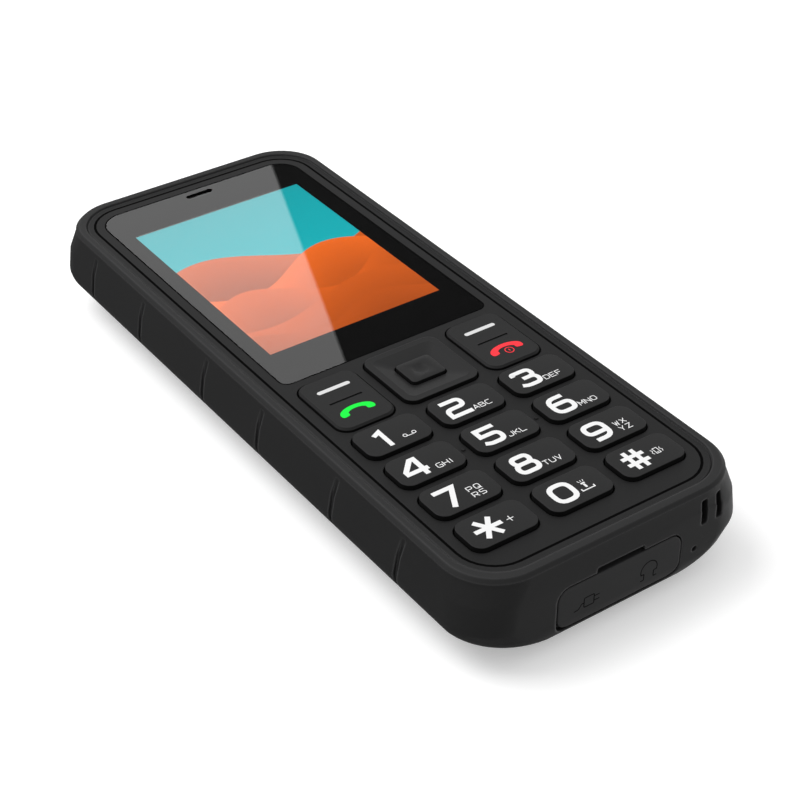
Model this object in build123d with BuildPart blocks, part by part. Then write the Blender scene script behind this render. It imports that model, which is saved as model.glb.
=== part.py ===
"""Rugged bar phone: casing, lens, keypad, board, battery and port flap, in millimetres.

The phone lies on its back: X to its right, Y to its top end, Z out of its front.
The origin is on the back, under the middle of the casing.
"""

import math
import os

from build123d import *

# Casing form
body_width = 57.2
body_length = 137.4
front_level = 17.8
waist_level = 9.0
edge_round = 5.5
side_sweep = 12.4
side_round = 4.8
waist_corner = 8.2
back_corner = 18.0
corner_clear = 0.4
shoulder_side_inset = 1.3
shoulder_end_inset = 0.6
shoulder_drop = 0.8
body_corner = 9.8
rim_rise = 0.3
rim_bevel = 0.7
upper_level_shares = (0.0, 0.5, 1.0)

# Grip grooves down both long sides
groove_width = 1.1
groove_depth = 0.75
groove_top_drop = 1.4
groove_bottom_level = 2.4
groove_lean = 1.7
groove_short_pitch_share = 0.134
groove_long_pitch_share = 0.166
groove_shift = 1.9

# Casing walls, and the seam between the shell and the back
overrun = 2.0
lip_reach = 1.15
bay_corner = 6.5
seam_level = 5.0
rear_inset = 6.7
rear_gap = 0.15
cover_wall = 1.6
cover_line_share = 0.21
hollow_side = 4.1
hollow_end = 3.8
hollow_corner = 3.0

# Front rim: a flat band, a narrow valley and the raised crest
crest_width = 1.8
crest_end_width = 2.0
band_reach = 2.05
valley_width = 0.3
valley_depth = 0.25

# Front panel and lens
panel_corner = 6.5
panel_gap = 0.3
panel_thickness = 1.9
panel_flange = 0.85
panel_flange_thickness = 1.0
lens_margin = 1.65
lens_bottom_share = 0.0433
lens_top_corner = 4.8
lens_bottom_corner = 1.8
lens_thickness = 0.9
lens_gap = 0.1
seal_thickness = 0.15
seal_width = 2.0

# Display
screen_side = 3.44
screen_head = 9.07
screen_foot = 9.92
window_margin = 0.8
display_border = 2.7
display_tail = 4.4
display_thickness = 2.3
bracket_wall = 1.6

# Earpiece
earpiece_drop = 2.0
earpiece_slot = 5.7
earpiece_slot_width = 0.9
earpiece_step = 0.35
mesh_thickness = 0.25
earpiece_length = 12.0
earpiece_width = 5.6
earpiece_height = 2.5

# Keys
key_margin = 2.03
key_space = 2.52
key_row_space = 1.94
key_corner = 2.0
key_pitch_share = 0.0729
key_foot = 7.93
key_rise = 0.75
key_bevel = 0.35
key_gap = 0.3
key_flange = 0.5
key_flange_thickness = 0.6
key_flange_gap = 0.15
key_travel = 0.4
key_room = 2.5
key_rest_gap = 0.15
plunger_radius = 1.2
dot_radius = 0.35
dot_rise = 0.2

# Function keys: one rocking cap on each side of the navigation ring
function_margin = 2.2
function_space = 2.25
function_row_space = 1.6
function_corner = 2.4
function_rise = 0.55
function_line_share = 0.57
function_line_width = 0.45
function_line_depth = 0.2
rocker_room = 0.5
rocker_flange_thickness = 0.5
rocker_inset = 2.6
rocker_foot = 0.5
rocker_pin = 0.4
pivot_gap = 0.05
pivot_width = 1.0

# Navigation ring, its gimbal and the centre key
nav_width = 15.2
nav_head_space = 2.05
nav_row_space = 1.8
nav_corner = 3.2
nav_rise = 0.6
nav_dish = 0.45
nav_dish_border = 1.3
nav_dish_lean = 1.2
nav_pin = 0.4
nav_pin_length = 2.0
gimbal_thickness = 0.45
gimbal_bore = 4.6
ok_width = 7.0
ok_height = 5.9
ok_corner = 1.3
ok_rise = 0.55
ok_dimple = 0.35
ok_dimple_radius = 7.0

# Keypad mat and switches
mat_thickness = 0.8
mat_side = 1.38
mat_foot = 4.5
mat_head = 0.65
mat_skirt = 1.0
dome_room = 0.8
dome_height = 0.4
dome_radius = 2.0

# Board
board_thickness = 1.0
board_gap = 0.7
board_corner = 5.5
shield_wall = 2.2
shield_side = 8.2
shield_length_share = 0.31
shield_mid = 4.0
screw_side = 2.9
screw_foot = 10.8
screw_head = 5.8
screw_radius = 0.8
screw_head_radius = 1.4
screw_head_height = 0.6
screw_gap = 0.05
boss_radius = 2.0

# Inner frame between the board and the battery
frame_gap = 0.2
frame_wall = 1.6
frame_floor = 1.0
frame_foot = 5.1
frame_cut_gap = 0.4

# Battery, its contacts and the card holder
battery_side_gap = 0.8
battery_end_gap = 2.0
battery_foot = 2.2
battery_thickness = 5.6
battery_corner = 2.0
contact_width = 12.0
contact_depth = 2.4
contact_height = 3.2
sim_side = 7.8
sim_length = 10.0
sim_height = 1.4
sim_gap = 1.3

# Battery cover screws and seal
cover_screw_side = 5.8
cover_screw_foot = 8.0
cover_screw_radius = 1.0
cover_screw_head = 2.6
cover_screw_sink = 0.2
cover_screw_head_height = 0.9
cover_boss_radius = 2.2
cover_tab_width = 8.0
cover_tab_reach = 2.0
cover_tab_root = 1.0
cover_tab_side = 8.8
groove_seal_width = 1.0
groove_seal_height = 0.8

# Ports in the bottom end and their flap
flap_width_share = 0.437
flap_top = 11.9
flap_axis_level = 4.1
flap_axis_inset = 0.75
flap_bead = 0.5
flap_gap = 0.3
flap_swing_gap = 0.6
flap_corner = 2.2
flap_inset = 1.5
finger_slot = 9.8
finger_slot_height = 0.9
finger_slot_depth = 1.2
port_level = 7.9
usb_share = -0.22
usb_hole_width = 8.2
usb_hole_height = 3.2
usb_corner = 0.8
usb_body_width = 7.8
usb_body_depth = 4.8
usb_mouth_width = 6.9
usb_mouth_height = 1.9
usb_mouth_depth = 4.0
usb_sill = 0.7
jack_share = 0.24
jack_hole_radius = 2.6
jack_bore_radius = 1.8
jack_bore_depth = 12.0
jack_body_width = 6.8
jack_body_depth = 14.0
jack_sill = 0.7
lug_length = 1.2
lug_usb_height = 1.4
lug_gap = 0.9
mic_side = 0.5
mic_level = 7.0
mic_hole_radius = 0.4
mic_width = 4.0
mic_depth = 3.0
mic_sill = 1.6

# Lanyard eye at the lower right corner: two upright slots with a bar between them
lanyard_side = 0.9
lanyard_pitch = 2.7
lanyard_slot = 1.4
lanyard_top = 16.4
lanyard_height = 6.1
lanyard_bar = 1.6
lanyard_tunnel = 1.2

# Camera, torch and loudspeaker in the upper back
rear_head = 10.05
camera_radius = 4.6
camera_ledge = 0.8
camera_window_thickness = 0.9
camera_width = 9.0
torch_x = 9.5
torch_radius = 1.8
torch_flange = 0.6
torch_thickness = 2.0
speaker_gap = 3.0
speaker_side = 3.3
speaker_length = 14.0
speaker_slot = 1.0
speaker_slot_pitch = 2.2
speaker_slots = 5
speaker_slot_length_share = 0.65
motor_side = 1.8
motor_foot = 7.0
motor_radius = 5.0
motor_height = 2.7
antenna_side = 7.2
antenna_length = 9.0
antenna_thickness = 0.5
antenna_head = 8.3

# Widths and lengths that follow from the casing's size and the spaces above
shoulder_width = body_width - 2 * shoulder_side_inset
shoulder_length = body_length - 2 * shoulder_end_inset
band_width = shoulder_width - 2 * crest_width
band_length = shoulder_length - 2 * crest_end_width
panel_width = band_width - 2 * band_reach
panel_length = band_length - 2 * band_reach
lens_width = panel_width - 2 * lens_margin
lens_top = panel_length / 2 - lens_margin
lens_bottom = -lens_bottom_share * panel_length
screen_width = lens_width - 2 * screen_side
screen_height = lens_top - lens_bottom - screen_head - screen_foot
screen_mid = lens_top - screen_head - screen_height / 2
earpiece_mid = lens_top - earpiece_drop
key_width = (panel_width - 2 * key_margin - 2 * key_space) / 3
key_pitch_x = key_width + key_space
key_pitch_y = key_pitch_share * panel_length
key_height = key_pitch_y - key_row_space
key_top_row = key_foot - panel_length / 2 + 3 * key_pitch_y
keys_top = key_top_row + key_height / 2
nav_head = lens_bottom - nav_head_space
nav_height = nav_head - keys_top - nav_row_space
nav_mid = nav_head - nav_height / 2
function_width = (panel_width - nav_width) / 2 - function_margin - function_space
function_height = nav_head - keys_top - function_row_space
function_mid_x = (nav_width + function_width) / 2 + function_space
function_mid_y = nav_head - function_height / 2
function_line = function_line_share * function_width
rocker_reach = function_height / 2 - rocker_inset
bay_width = panel_width + 2 * (panel_gap + lip_reach)
bay_length = panel_length + 2 * (panel_gap + lip_reach)
bay_end = -bay_length / 2
mat_width = 2 * (key_pitch_x + dome_radius + mat_skirt + mat_side)
mat_bottom_end = bay_end + mat_foot
mat_top_end = lens_bottom - mat_head
board_width = bay_width - 2 * board_gap
board_length = bay_length - 2 * board_gap
shield_width = board_width - 2 * shield_side
shield_length = shield_length_share * board_length
screw_x = board_width / 2 - screw_side
screw_rows = (screw_foot - board_length / 2, board_length / 2 - screw_head)
frame_width = bay_width - 2 * frame_gap
frame_bottom_end = bay_end + frame_foot
frame_top_end = bay_length / 2 - frame_gap
frame_length = frame_top_end - frame_bottom_end
frame_mid = (frame_top_end + frame_bottom_end) / 2
antenna_width = board_width - 2 * antenna_side
antenna_mid = frame_top_end - antenna_head
rear_length = body_length - 2 * rear_inset
rear_end = rear_length / 2 - rear_gap
cover_line = cover_line_share * rear_length
hollow_width = bay_width - 2 * hollow_side
hollow_length = 2 * (rear_end - hollow_end)
cover_screw_x = hollow_width / 2 - cover_screw_side
cover_screw_y = cover_screw_foot - rear_length / 2
cover_tab_x = hollow_width / 2 - cover_tab_side
sim_width = hollow_width - 2 * sim_side
sim_mid = bay_end + jack_body_depth + sim_gap + sim_length / 2
battery_width = hollow_width - 2 * battery_side_gap
battery_bottom_end = sim_mid + sim_length / 2 + battery_foot
battery_top_end = cover_line - battery_end_gap
battery_length = battery_top_end - battery_bottom_end
rear_mid = hollow_length / 2 - rear_head
speaker_width = (hollow_width - camera_width) / 2 - speaker_gap - speaker_side
speaker_x = -(camera_width + speaker_width) / 2 - speaker_gap
speaker_slot_length = speaker_slot_length_share * speaker_width
motor_x = hollow_width / 2 - motor_radius - motor_side
motor_y = cover_line + motor_foot
flap_width = flap_width_share * body_width
usb_x = usb_share * flap_width
jack_x = jack_share * flap_width
mic_x = bay_width / 2 - bay_corner - mic_width / 2 - mic_side
lanyard_x = body_width / 2 - body_corner - lanyard_side

# Levels of the stack, from the front down to the board and from the back up to the frame
rim_level = front_level + rim_rise
shoulder_level = front_level - shoulder_drop
panel_bottom = front_level - panel_thickness
lip_level = panel_bottom + panel_flange_thickness
lens_seat = front_level - lens_thickness - seal_thickness
display_bottom = panel_bottom - display_thickness
mat_top = panel_bottom - key_room
mat_bottom = mat_top - mat_thickness
board_top = mat_bottom - dome_room
board_bottom = board_top - board_thickness
floor_bottom = cover_wall + battery_thickness
floor_top = floor_bottom + frame_floor
side_reach = side_sweep - side_round
belly_round = (side_reach**2 + waist_level**2 - side_round**2) / (2 * (waist_level - side_round))
sweep_angle = math.degrees(math.atan2(belly_round - waist_level, side_reach))
flange_bottom = panel_bottom - key_flange_gap - key_flange_thickness
plunger_bottom = mat_top + key_travel + key_rest_gap
rocker_bottom = panel_bottom - rocker_room - rocker_flange_thickness
gimbal_top = rocker_bottom - nav_pin - pivot_gap
gimbal_bottom = gimbal_top - gimbal_thickness
gimbal_pin = gimbal_bottom - pivot_gap - mat_top

# Places that repeat
key_columns = (-key_pitch_x, 0, key_pitch_x)
key_rows = [key_top_row - row * key_pitch_y for row in range(4)]
key_names = ["1", "2", "3", "4", "5", "6", "7", "8", "9", "star", "0", "hash"]
key_places = [(x, y) for y in key_rows for x in key_columns]
stud_sides = 8
function_places = [(-function_mid_x, function_mid_y), (function_mid_x, function_mid_y)]
rocker_places = [(x, y + s * rocker_reach) for x, y in function_places for s in (-1, 1)]
nav_reach_x = (nav_width + ok_width) / 4
nav_reach_y = (nav_height + ok_height) / 4
nav_places = [(s * nav_reach_x, nav_mid) for s in (-1, 1)]
nav_places += [(0, nav_mid + s * nav_reach_y) for s in (-1, 1)]
screw_places = [(s * screw_x, y) for y in screw_rows for s in (-1, 1)]
cover_screw_places = [(s * cover_screw_x, cover_screw_y) for s in (-1, 1)]
groove_near = groove_short_pitch_share * body_length / 2
groove_far = groove_near + groove_long_pitch_share * body_length
groove_end = groove_far + 2 * groove_near
groove_places = [
    groove_shift + s * reach for reach in (groove_near, groove_far, groove_end) for s in (-1, 1)
]


def form_section(level, inset):
    """Width, length and corner radius of the casing above its waist, drawn in by an inset."""
    taper_share = ((level - waist_level) / (shoulder_level - waist_level)) ** 2
    depth = inset * (1 - taper_share)
    width = body_width - (body_width - shoulder_width) * taper_share - 2 * depth
    length = body_length - (body_length - shoulder_length) * taper_share - 2 * depth
    corner = waist_corner + (body_corner - waist_corner) * taper_share - depth
    return width, length, corner


def rounded_face(level, width, length, corner, centre=(0, 0)):
    """A rounded rectangle lying at a level."""
    with BuildSketch(Plane.XY.offset(level)) as face:
        with Locations(centre):
            RectangleRounded(width, length, corner)
    return face.sketch


def plain_face(level, width, length, centre=(0, 0)):
    """A plain rectangle lying at a level."""
    with BuildSketch(Plane.XY.offset(level)) as face:
        with Locations(centre):
            Rectangle(width, length)
    return face.sketch


def round_faces(level, radius, centres):
    """Circles lying at a level, one at each place."""
    with BuildSketch(Plane.XY.offset(level)) as face:
        with Locations(*centres):
            Circle(radius)
    return face.sketch


def stud_faces(level, radius, centres):
    """Eight-sided faces, for the small round pieces that repeat inside the closed casing."""
    with BuildSketch(Plane.XY.offset(level)) as face:
        with Locations(*centres):
            RegularPolygon(radius, stud_sides, rotation=180 / stud_sides)
    return face.sketch


def lens_face(level, grow):
    """The lens outline, grown on all sides: large top corners and small bottom ones."""
    with BuildSketch(Plane.XY.offset(level)) as face:
        with Locations((0, (lens_top + lens_bottom) / 2)):
            Rectangle(lens_width + 2 * grow, lens_top - lens_bottom + 2 * grow)
        fillet(face.vertices().group_by(Axis.Y)[-1], lens_top_corner + grow)
        fillet(face.vertices().group_by(Axis.Y)[0], lens_bottom_corner + grow)
    return face.sketch


def slot_face(level, length, width, centre):
    """A straight slot with round ends along X, lying at a level."""
    with BuildSketch(Plane.XY.offset(level)) as face:
        with Locations(centre):
            SlotOverall(length, width)
    return face.sketch


def casing_form(inset):
    """The casing up to its shoulder, drawn in by an inset that runs out at the shoulder.

    Under the waist its ends are rounded and its long sides sweep in to the back.
    """
    width = body_width - 2 * inset
    length = body_length - 2 * inset
    with BuildPart() as corners:
        for level, corner in ((0, back_corner), (waist_level, waist_corner)):
            with BuildSketch(Plane.XY.offset(level)):
                RectangleRounded(width + corner_clear, length + corner_clear, corner - inset)
        loft(ruled=True)
    with BuildPart() as form:
        extrude(rounded_face(0, width, length, waist_corner - inset), amount=waist_level)
        fillet(form.faces().sort_by(Axis.Z)[0].edges(), edge_round)
        add(corners.part, mode=Mode.INTERSECT)
        half_width = width / 2
        back_half = half_width - side_sweep
        with BuildSketch(Plane.XZ):
            with BuildLine():
                Line((0, 0), (back_half, 0))
                CenterArc((back_half, belly_round), belly_round, -90, 90 - sweep_angle)
                CenterArc((half_width - side_round, waist_level), side_round, -sweep_angle, sweep_angle)
                Line((half_width, waist_level), (0, waist_level))
                mirror(about=Plane.YZ)
            make_face()
        extrude(amount=body_length / 2, both=True, mode=Mode.INTERSECT)
        for share in upper_level_shares:
            level = waist_level + share * (shoulder_level - waist_level)
            with BuildSketch(Plane.XY.offset(level)):
                RectangleRounded(*form_section(level, inset))
        loft(ruled=True)
    return form.part


def pin_face(plane, centres, radius):
    """Half discs on an upright plane, round side down, for ribs that something tilts on."""
    with BuildSketch(plane) as face:
        with Locations(*centres):
            Circle(radius)
        with Locations(*[(across, level + radius / 2) for across, level in centres]):
            Rectangle(2 * radius, radius, mode=Mode.SUBTRACT)
    return face.sketch


def end_plane(y):
    """An upright plane facing the bottom end: its X is the phone's X and its Y is height."""
    return Plane(origin=(0, y, 0), x_dir=(1, 0, 0), z_dir=(0, -1, 0))


def end_face(y, width, height, corner, centre):
    """A rounded rectangle standing on the bottom end's plane at y."""
    with BuildSketch(end_plane(y)) as face:
        with Locations(centre):
            RectangleRounded(width, height, corner)
    return face.sketch


os.makedirs("parts", exist_ok=True)

# Casing form: a rounded lower edge, a taper above the waist, a bevelled rim and grip grooves
groove_height = front_level - groove_top_drop - groove_bottom_level
with BuildPart() as groove_bars:
    for place in groove_places:
        with BuildSketch(Plane.YZ.offset(-body_width)):
            with BuildLine():
                Polyline(
                    (place - groove_lean / 2, groove_bottom_level + groove_height),
                    (place - groove_lean / 2 + groove_width, groove_bottom_level + groove_height),
                    (place + groove_lean / 2 + groove_width, groove_bottom_level),
                    (place + groove_lean / 2, groove_bottom_level),
                    close=True,
                )
            make_face()
    extrude(amount=2 * body_width)
    add(casing_form(groove_depth), mode=Mode.SUBTRACT)

with BuildPart() as casing:
    add(casing_form(0))
    extrude(
        rounded_face(shoulder_level, shoulder_width, shoulder_length, body_corner),
        amount=rim_level - shoulder_level,
    )
    chamfer(casing.faces().sort_by(Axis.Z)[-1].edges(), rim_bevel)
    add(groove_bars.part, mode=Mode.SUBTRACT)

# Outer shell: sides, ends and front rim in one moulding
band_corner = panel_corner + band_reach
end_y = -body_length / 2
flap_floor = end_y + flap_inset + flap_gap
flap_bottom = flap_axis_level - flap_bead
recess_bottom = flap_bottom - flap_swing_gap
recess_top = flap_top + flap_gap
recess_mid = (recess_top + recess_bottom) / 2
lanyard_mid = lanyard_top - lanyard_height / 2
lanyard_tunnel_y = end_y + lanyard_bar + lanyard_tunnel
with BuildPart() as outer_shell:
    add(casing.part)
    extrude(
        rounded_face(seam_level, bay_width, bay_length, bay_corner),
        amount=lip_level - seam_level,
        mode=Mode.SUBTRACT,
    )
    extrude(
        rounded_face(
            lip_level,
            panel_width + 2 * panel_gap,
            panel_length + 2 * panel_gap,
            panel_corner + panel_gap,
        ),
        amount=rim_level - lip_level + overrun,
        mode=Mode.SUBTRACT,
    )
    extrude(
        rounded_face(front_level, band_width, band_length, band_corner),
        amount=rim_rise + overrun,
        mode=Mode.SUBTRACT,
    )
    with BuildSketch(Plane.XY.offset(front_level)):
        RectangleRounded(band_width, band_length, band_corner)
        RectangleRounded(
            band_width - 2 * valley_width,
            band_length - 2 * valley_width,
            band_corner - valley_width,
            mode=Mode.SUBTRACT,
        )
    extrude(amount=-valley_depth, mode=Mode.SUBTRACT)
    extrude(
        plain_face(-overrun, body_width + overrun, rear_length),
        amount=seam_level + overrun,
        mode=Mode.SUBTRACT,
    )
    extrude(
        end_face(
            flap_floor,
            flap_width + 2 * flap_gap,
            recess_top - recess_bottom,
            flap_corner + flap_gap,
            (0, recess_mid),
        ),
        amount=flap_inset + flap_gap + overrun,
        mode=Mode.SUBTRACT,
    )
    extrude(
        end_face(
            end_y + finger_slot_depth,
            finger_slot,
            2 * finger_slot_height,
            finger_slot_height / 2,
            (0, recess_top),
        ),
        amount=finger_slot_depth + overrun,
        mode=Mode.SUBTRACT,
    )
    with BuildSketch(end_plane(bay_end)):
        with Locations((usb_x, port_level)):
            RectangleRounded(usb_hole_width, usb_hole_height, usb_corner)
        with Locations((jack_x, port_level)):
            Circle(jack_hole_radius)
        with Locations((mic_x, mic_level)):
            Circle(mic_hole_radius)
    extrude(amount=bay_end - end_y + overrun, mode=Mode.SUBTRACT)
    with BuildSketch(end_plane(lanyard_tunnel_y)):
        with Locations((lanyard_x, lanyard_mid), (lanyard_x + lanyard_pitch, lanyard_mid)):
            RectangleRounded(lanyard_slot, lanyard_height, lanyard_slot / 3)
    extrude(amount=lanyard_tunnel_y - end_y + overrun, mode=Mode.SUBTRACT)
    with BuildSketch(end_plane(lanyard_tunnel_y)):
        with Locations((lanyard_x + lanyard_pitch / 2, lanyard_mid)):
            RectangleRounded(
                lanyard_pitch + lanyard_slot, lanyard_height, lanyard_slot / 3
            )
    extrude(amount=lanyard_tunnel, mode=Mode.SUBTRACT)
outer_shell.part.label = "outer_shell"
export_step(outer_shell.part, "parts/outer_shell.step")

# Front panel: flush with the lens, held under the shell's lip by a flange
with BuildPart() as front_panel:
    extrude(
        rounded_face(
            panel_bottom,
            panel_width + 2 * panel_flange,
            panel_length + 2 * panel_flange,
            panel_corner,
        ),
        amount=panel_flange_thickness,
    )
    extrude(
        rounded_face(lip_level, panel_width, panel_length, panel_corner),
        amount=front_level - lip_level,
    )
    extrude(
        lens_face(lens_seat, lens_gap), amount=front_level - lens_seat + overrun, mode=Mode.SUBTRACT
    )
    extrude(
        plain_face(
            panel_bottom,
            screen_width + 2 * window_margin,
            screen_height + 2 * window_margin,
            (0, screen_mid),
        ),
        amount=panel_thickness,
        mode=Mode.SUBTRACT,
    )
    extrude(
        plain_face(
            panel_bottom,
            earpiece_slot - 2 * earpiece_step,
            earpiece_slot_width - earpiece_step,
            (0, earpiece_mid),
        ),
        amount=panel_thickness,
        mode=Mode.SUBTRACT,
    )
    for centre in key_places:
        extrude(
            rounded_face(
                panel_bottom,
                key_width + 2 * key_gap,
                key_height + 2 * key_gap,
                key_corner + key_gap,
                centre,
            ),
            amount=panel_thickness + overrun,
            mode=Mode.SUBTRACT,
        )
    for centre in function_places:
        extrude(
            rounded_face(
                panel_bottom,
                function_width + 2 * key_gap,
                function_height + 2 * key_gap,
                function_corner + key_gap,
                centre,
            ),
            amount=panel_thickness + overrun,
            mode=Mode.SUBTRACT,
        )
    extrude(
        rounded_face(
            panel_bottom,
            nav_width + 2 * key_gap,
            nav_height + 2 * key_gap,
            nav_corner + key_gap,
            (0, nav_mid),
        ),
        amount=panel_thickness + overrun,
        mode=Mode.SUBTRACT,
    )
    dot_x = key_pitch_x / 2
    extrude(
        round_faces(front_level, dot_radius, [(-dot_x, key_rows[1]), (dot_x, key_rows[1])]),
        amount=dot_rise,
    )
front_panel.part.label = "front_panel"
export_step(front_panel.part, "parts/front_panel.step")

# Lens over the display, with the earpiece slot cut through it
with BuildPart() as display_lens:
    extrude(lens_face(front_level - lens_thickness, 0), amount=lens_thickness)
    extrude(
        slot_face(
            front_level - lens_thickness, earpiece_slot, earpiece_slot_width, (0, earpiece_mid)
        ),
        amount=lens_thickness,
        mode=Mode.SUBTRACT,
    )
display_lens.part.label = "display_lens"
export_step(display_lens.part, "parts/display_lens.step")

# Adhesive seal that beds the lens in the panel
with BuildPart() as lens_seal:
    extrude(lens_face(lens_seat, 0), amount=seal_thickness)
    extrude(
        plain_face(
            lens_seat,
            screen_width + 2 * window_margin,
            screen_height + 2 * window_margin,
            (0, screen_mid),
        ),
        amount=seal_thickness,
        mode=Mode.SUBTRACT,
    )
    extrude(
        plain_face(lens_seat, earpiece_slot + seal_width, seal_width, (0, earpiece_mid)),
        amount=seal_thickness,
        mode=Mode.SUBTRACT,
    )
lens_seal.part.label = "lens_seal"
export_step(lens_seal.part, "parts/lens_seal.step")

# Dust mesh at the bottom of the earpiece slot
with BuildPart() as earpiece_mesh:
    extrude(
        plain_face(
            lens_seat, earpiece_slot + earpiece_step, seal_width / 2, (0, earpiece_mid)
        ),
        amount=seal_thickness,
    )
earpiece_mesh.part.label = "earpiece_mesh"
export_step(earpiece_mesh.part, "parts/earpiece_mesh.step")

# Earpiece capsule under the panel
with BuildPart() as earpiece:
    extrude(
        plain_face(
            panel_bottom - earpiece_height, earpiece_length, earpiece_width, (0, earpiece_mid)
        ),
        amount=earpiece_height,
    )
earpiece.part.label = "earpiece"
export_step(earpiece.part, "parts/earpiece.step")

# Display module behind the window, and the bracket that holds it off the board
display_width = screen_width + 2 * display_border
display_length = screen_height + display_border + display_tail
display_mid = screen_mid - (display_tail - display_border) / 2
with BuildPart() as display_module:
    extrude(
        plain_face(display_bottom, display_width, display_length, (0, display_mid)),
        amount=display_thickness,
    )
display_module.part.label = "display_module"
export_step(display_module.part, "parts/display_module.step")

with BuildPart() as display_bracket:
    extrude(
        plain_face(board_top, display_width, display_length, (0, display_mid)),
        amount=display_bottom - board_top,
    )
    extrude(
        plain_face(
            board_top,
            display_width - 2 * bracket_wall,
            display_length - 2 * bracket_wall,
            (0, display_mid),
        ),
        amount=display_bottom - board_top,
        mode=Mode.SUBTRACT,
    )
display_bracket.part.label = "display_bracket"
export_step(display_bracket.part, "parts/display_bracket.step")

# Number keys: a cap through the panel, a flange under it and a plunger over its switch
for key_name, key_place in zip(key_names, key_places):
    with BuildPart() as number_key:
        extrude(
            rounded_face(flange_bottom, key_width, key_height, key_corner, key_place),
            amount=front_level + key_rise - flange_bottom,
        )
        chamfer(number_key.faces().sort_by(Axis.Z)[-1].edges(), key_bevel)
        extrude(
            plain_face(
                flange_bottom, key_width + 2 * key_flange, key_height + 2 * key_flange, key_place
            ),
            amount=key_flange_thickness,
        )
        extrude(
            stud_faces(plunger_bottom, plunger_radius, [key_place]),
            amount=flange_bottom - plunger_bottom,
        )
    number_key.part.label = f"key_{key_name}"
    export_step(number_key.part, f"parts/key_{key_name}.step")

# Function keys: each cap rocks on a rib of the mat, with a foot over each of its two switches
for function_name, function_place in zip(("left", "right"), function_places):
    rocker_feet = [
        (function_place[0], function_place[1] + side * rocker_reach) for side in (-1, 1)
    ]
    with BuildPart() as function_key:
        extrude(
            rounded_face(
                rocker_bottom, function_width, function_height, function_corner, function_place
            ),
            amount=front_level + function_rise - rocker_bottom,
        )
        chamfer(function_key.faces().sort_by(Axis.Z)[-1].edges(), key_bevel)
        extrude(
            plain_face(
                rocker_bottom,
                function_width + 2 * key_flange,
                function_height + 2 * key_flange,
                function_place,
            ),
            amount=rocker_flange_thickness,
        )
        extrude(
            stud_faces(rocker_bottom - rocker_foot, plunger_radius, rocker_feet),
            amount=rocker_foot,
        )
        extrude(
            pin_face(
                Plane.YZ.offset(function_place[0] - function_line / 2),
                [(function_mid_y, rocker_bottom)],
                rocker_pin,
            ),
            amount=function_line,
        )
        extrude(
            plain_face(
                front_level + function_rise, function_line, function_line_width, function_place
            ),
            amount=-function_line_depth,
            mode=Mode.SUBTRACT,
        )
    function_key.part.label = f"function_key_{function_name}"
    export_step(function_key.part, f"parts/function_key_{function_name}.step")

# Navigation ring: a dished square ring that tilts four ways round the centre key
nav_top = front_level + nav_rise
with BuildPart() as nav_ring:
    extrude(
        rounded_face(rocker_bottom, nav_width, nav_height, nav_corner, (0, nav_mid)),
        amount=nav_top - rocker_bottom,
    )
    chamfer(nav_ring.faces().sort_by(Axis.Z)[-1].edges(), key_bevel)
    extrude(
        plain_face(
            rocker_bottom, nav_width + 2 * key_flange, nav_height + 2 * key_flange, (0, nav_mid)
        ),
        amount=rocker_flange_thickness,
    )
    extrude(
        rounded_face(
            nav_top,
            nav_width - 2 * nav_dish_border,
            nav_height - 2 * nav_dish_border,
            nav_corner - nav_dish_border,
            (0, nav_mid),
        ),
        amount=-nav_dish,
        taper=math.degrees(math.atan2(nav_dish_lean, nav_dish)),
        mode=Mode.SUBTRACT,
    )
    extrude(
        rounded_face(
            rocker_bottom,
            ok_width + 2 * key_gap,
            ok_height + 2 * key_gap,
            ok_corner + key_gap,
            (0, nav_mid),
        ),
        amount=nav_top - rocker_bottom,
        mode=Mode.SUBTRACT,
    )
    for pin_x, pin_y in nav_places[:2]:
        extrude(
            pin_face(
                Plane.YZ.offset(pin_x - nav_pin_length / 2), [(pin_y, rocker_bottom)], nav_pin
            ),
            amount=nav_pin_length,
        )
nav_ring.part.label = "nav_ring"
export_step(nav_ring.part, "parts/nav_ring.step")

# Gimbal plate under the ring: the ring tilts on it one way, and it tilts the other way
with BuildPart() as nav_gimbal:
    extrude(
        plain_face(gimbal_bottom, nav_width, nav_height, (0, nav_mid)),
        amount=gimbal_thickness,
    )
    extrude(
        stud_faces(gimbal_bottom, gimbal_bore, [(0, nav_mid)]),
        amount=gimbal_thickness,
        mode=Mode.SUBTRACT,
    )
    for pin_x, pin_y in nav_places[2:]:
        extrude(
            pin_face(
                Plane.XZ.offset(-pin_y - nav_pin_length / 2), [(pin_x, gimbal_bottom)], gimbal_pin
            ),
            amount=nav_pin_length,
        )
nav_gimbal.part.label = "nav_gimbal"
export_step(nav_gimbal.part, "parts/nav_gimbal.step")

# Centre key with a round dimple, on a stem through the ring and the gimbal
ok_top = front_level + ok_rise
with BuildPart() as ok_key:
    extrude(
        rounded_face(rocker_bottom, ok_width, ok_height, ok_corner, (0, nav_mid)),
        amount=ok_top - rocker_bottom,
    )
    with Locations((0, nav_mid, ok_top + ok_dimple_radius - ok_dimple)):
        Sphere(ok_dimple_radius, rotation=(90, 0, 0), mode=Mode.SUBTRACT)
    chamfer(ok_key.faces().sort_by(Axis.Z)[-1].outer_wire().edges(), key_bevel)
    extrude(
        stud_faces(plunger_bottom, plunger_radius, [(0, nav_mid)]),
        amount=rocker_bottom - plunger_bottom,
    )
ok_key.part.label = "ok_key"
export_step(ok_key.part, "parts/ok_key.step")

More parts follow.
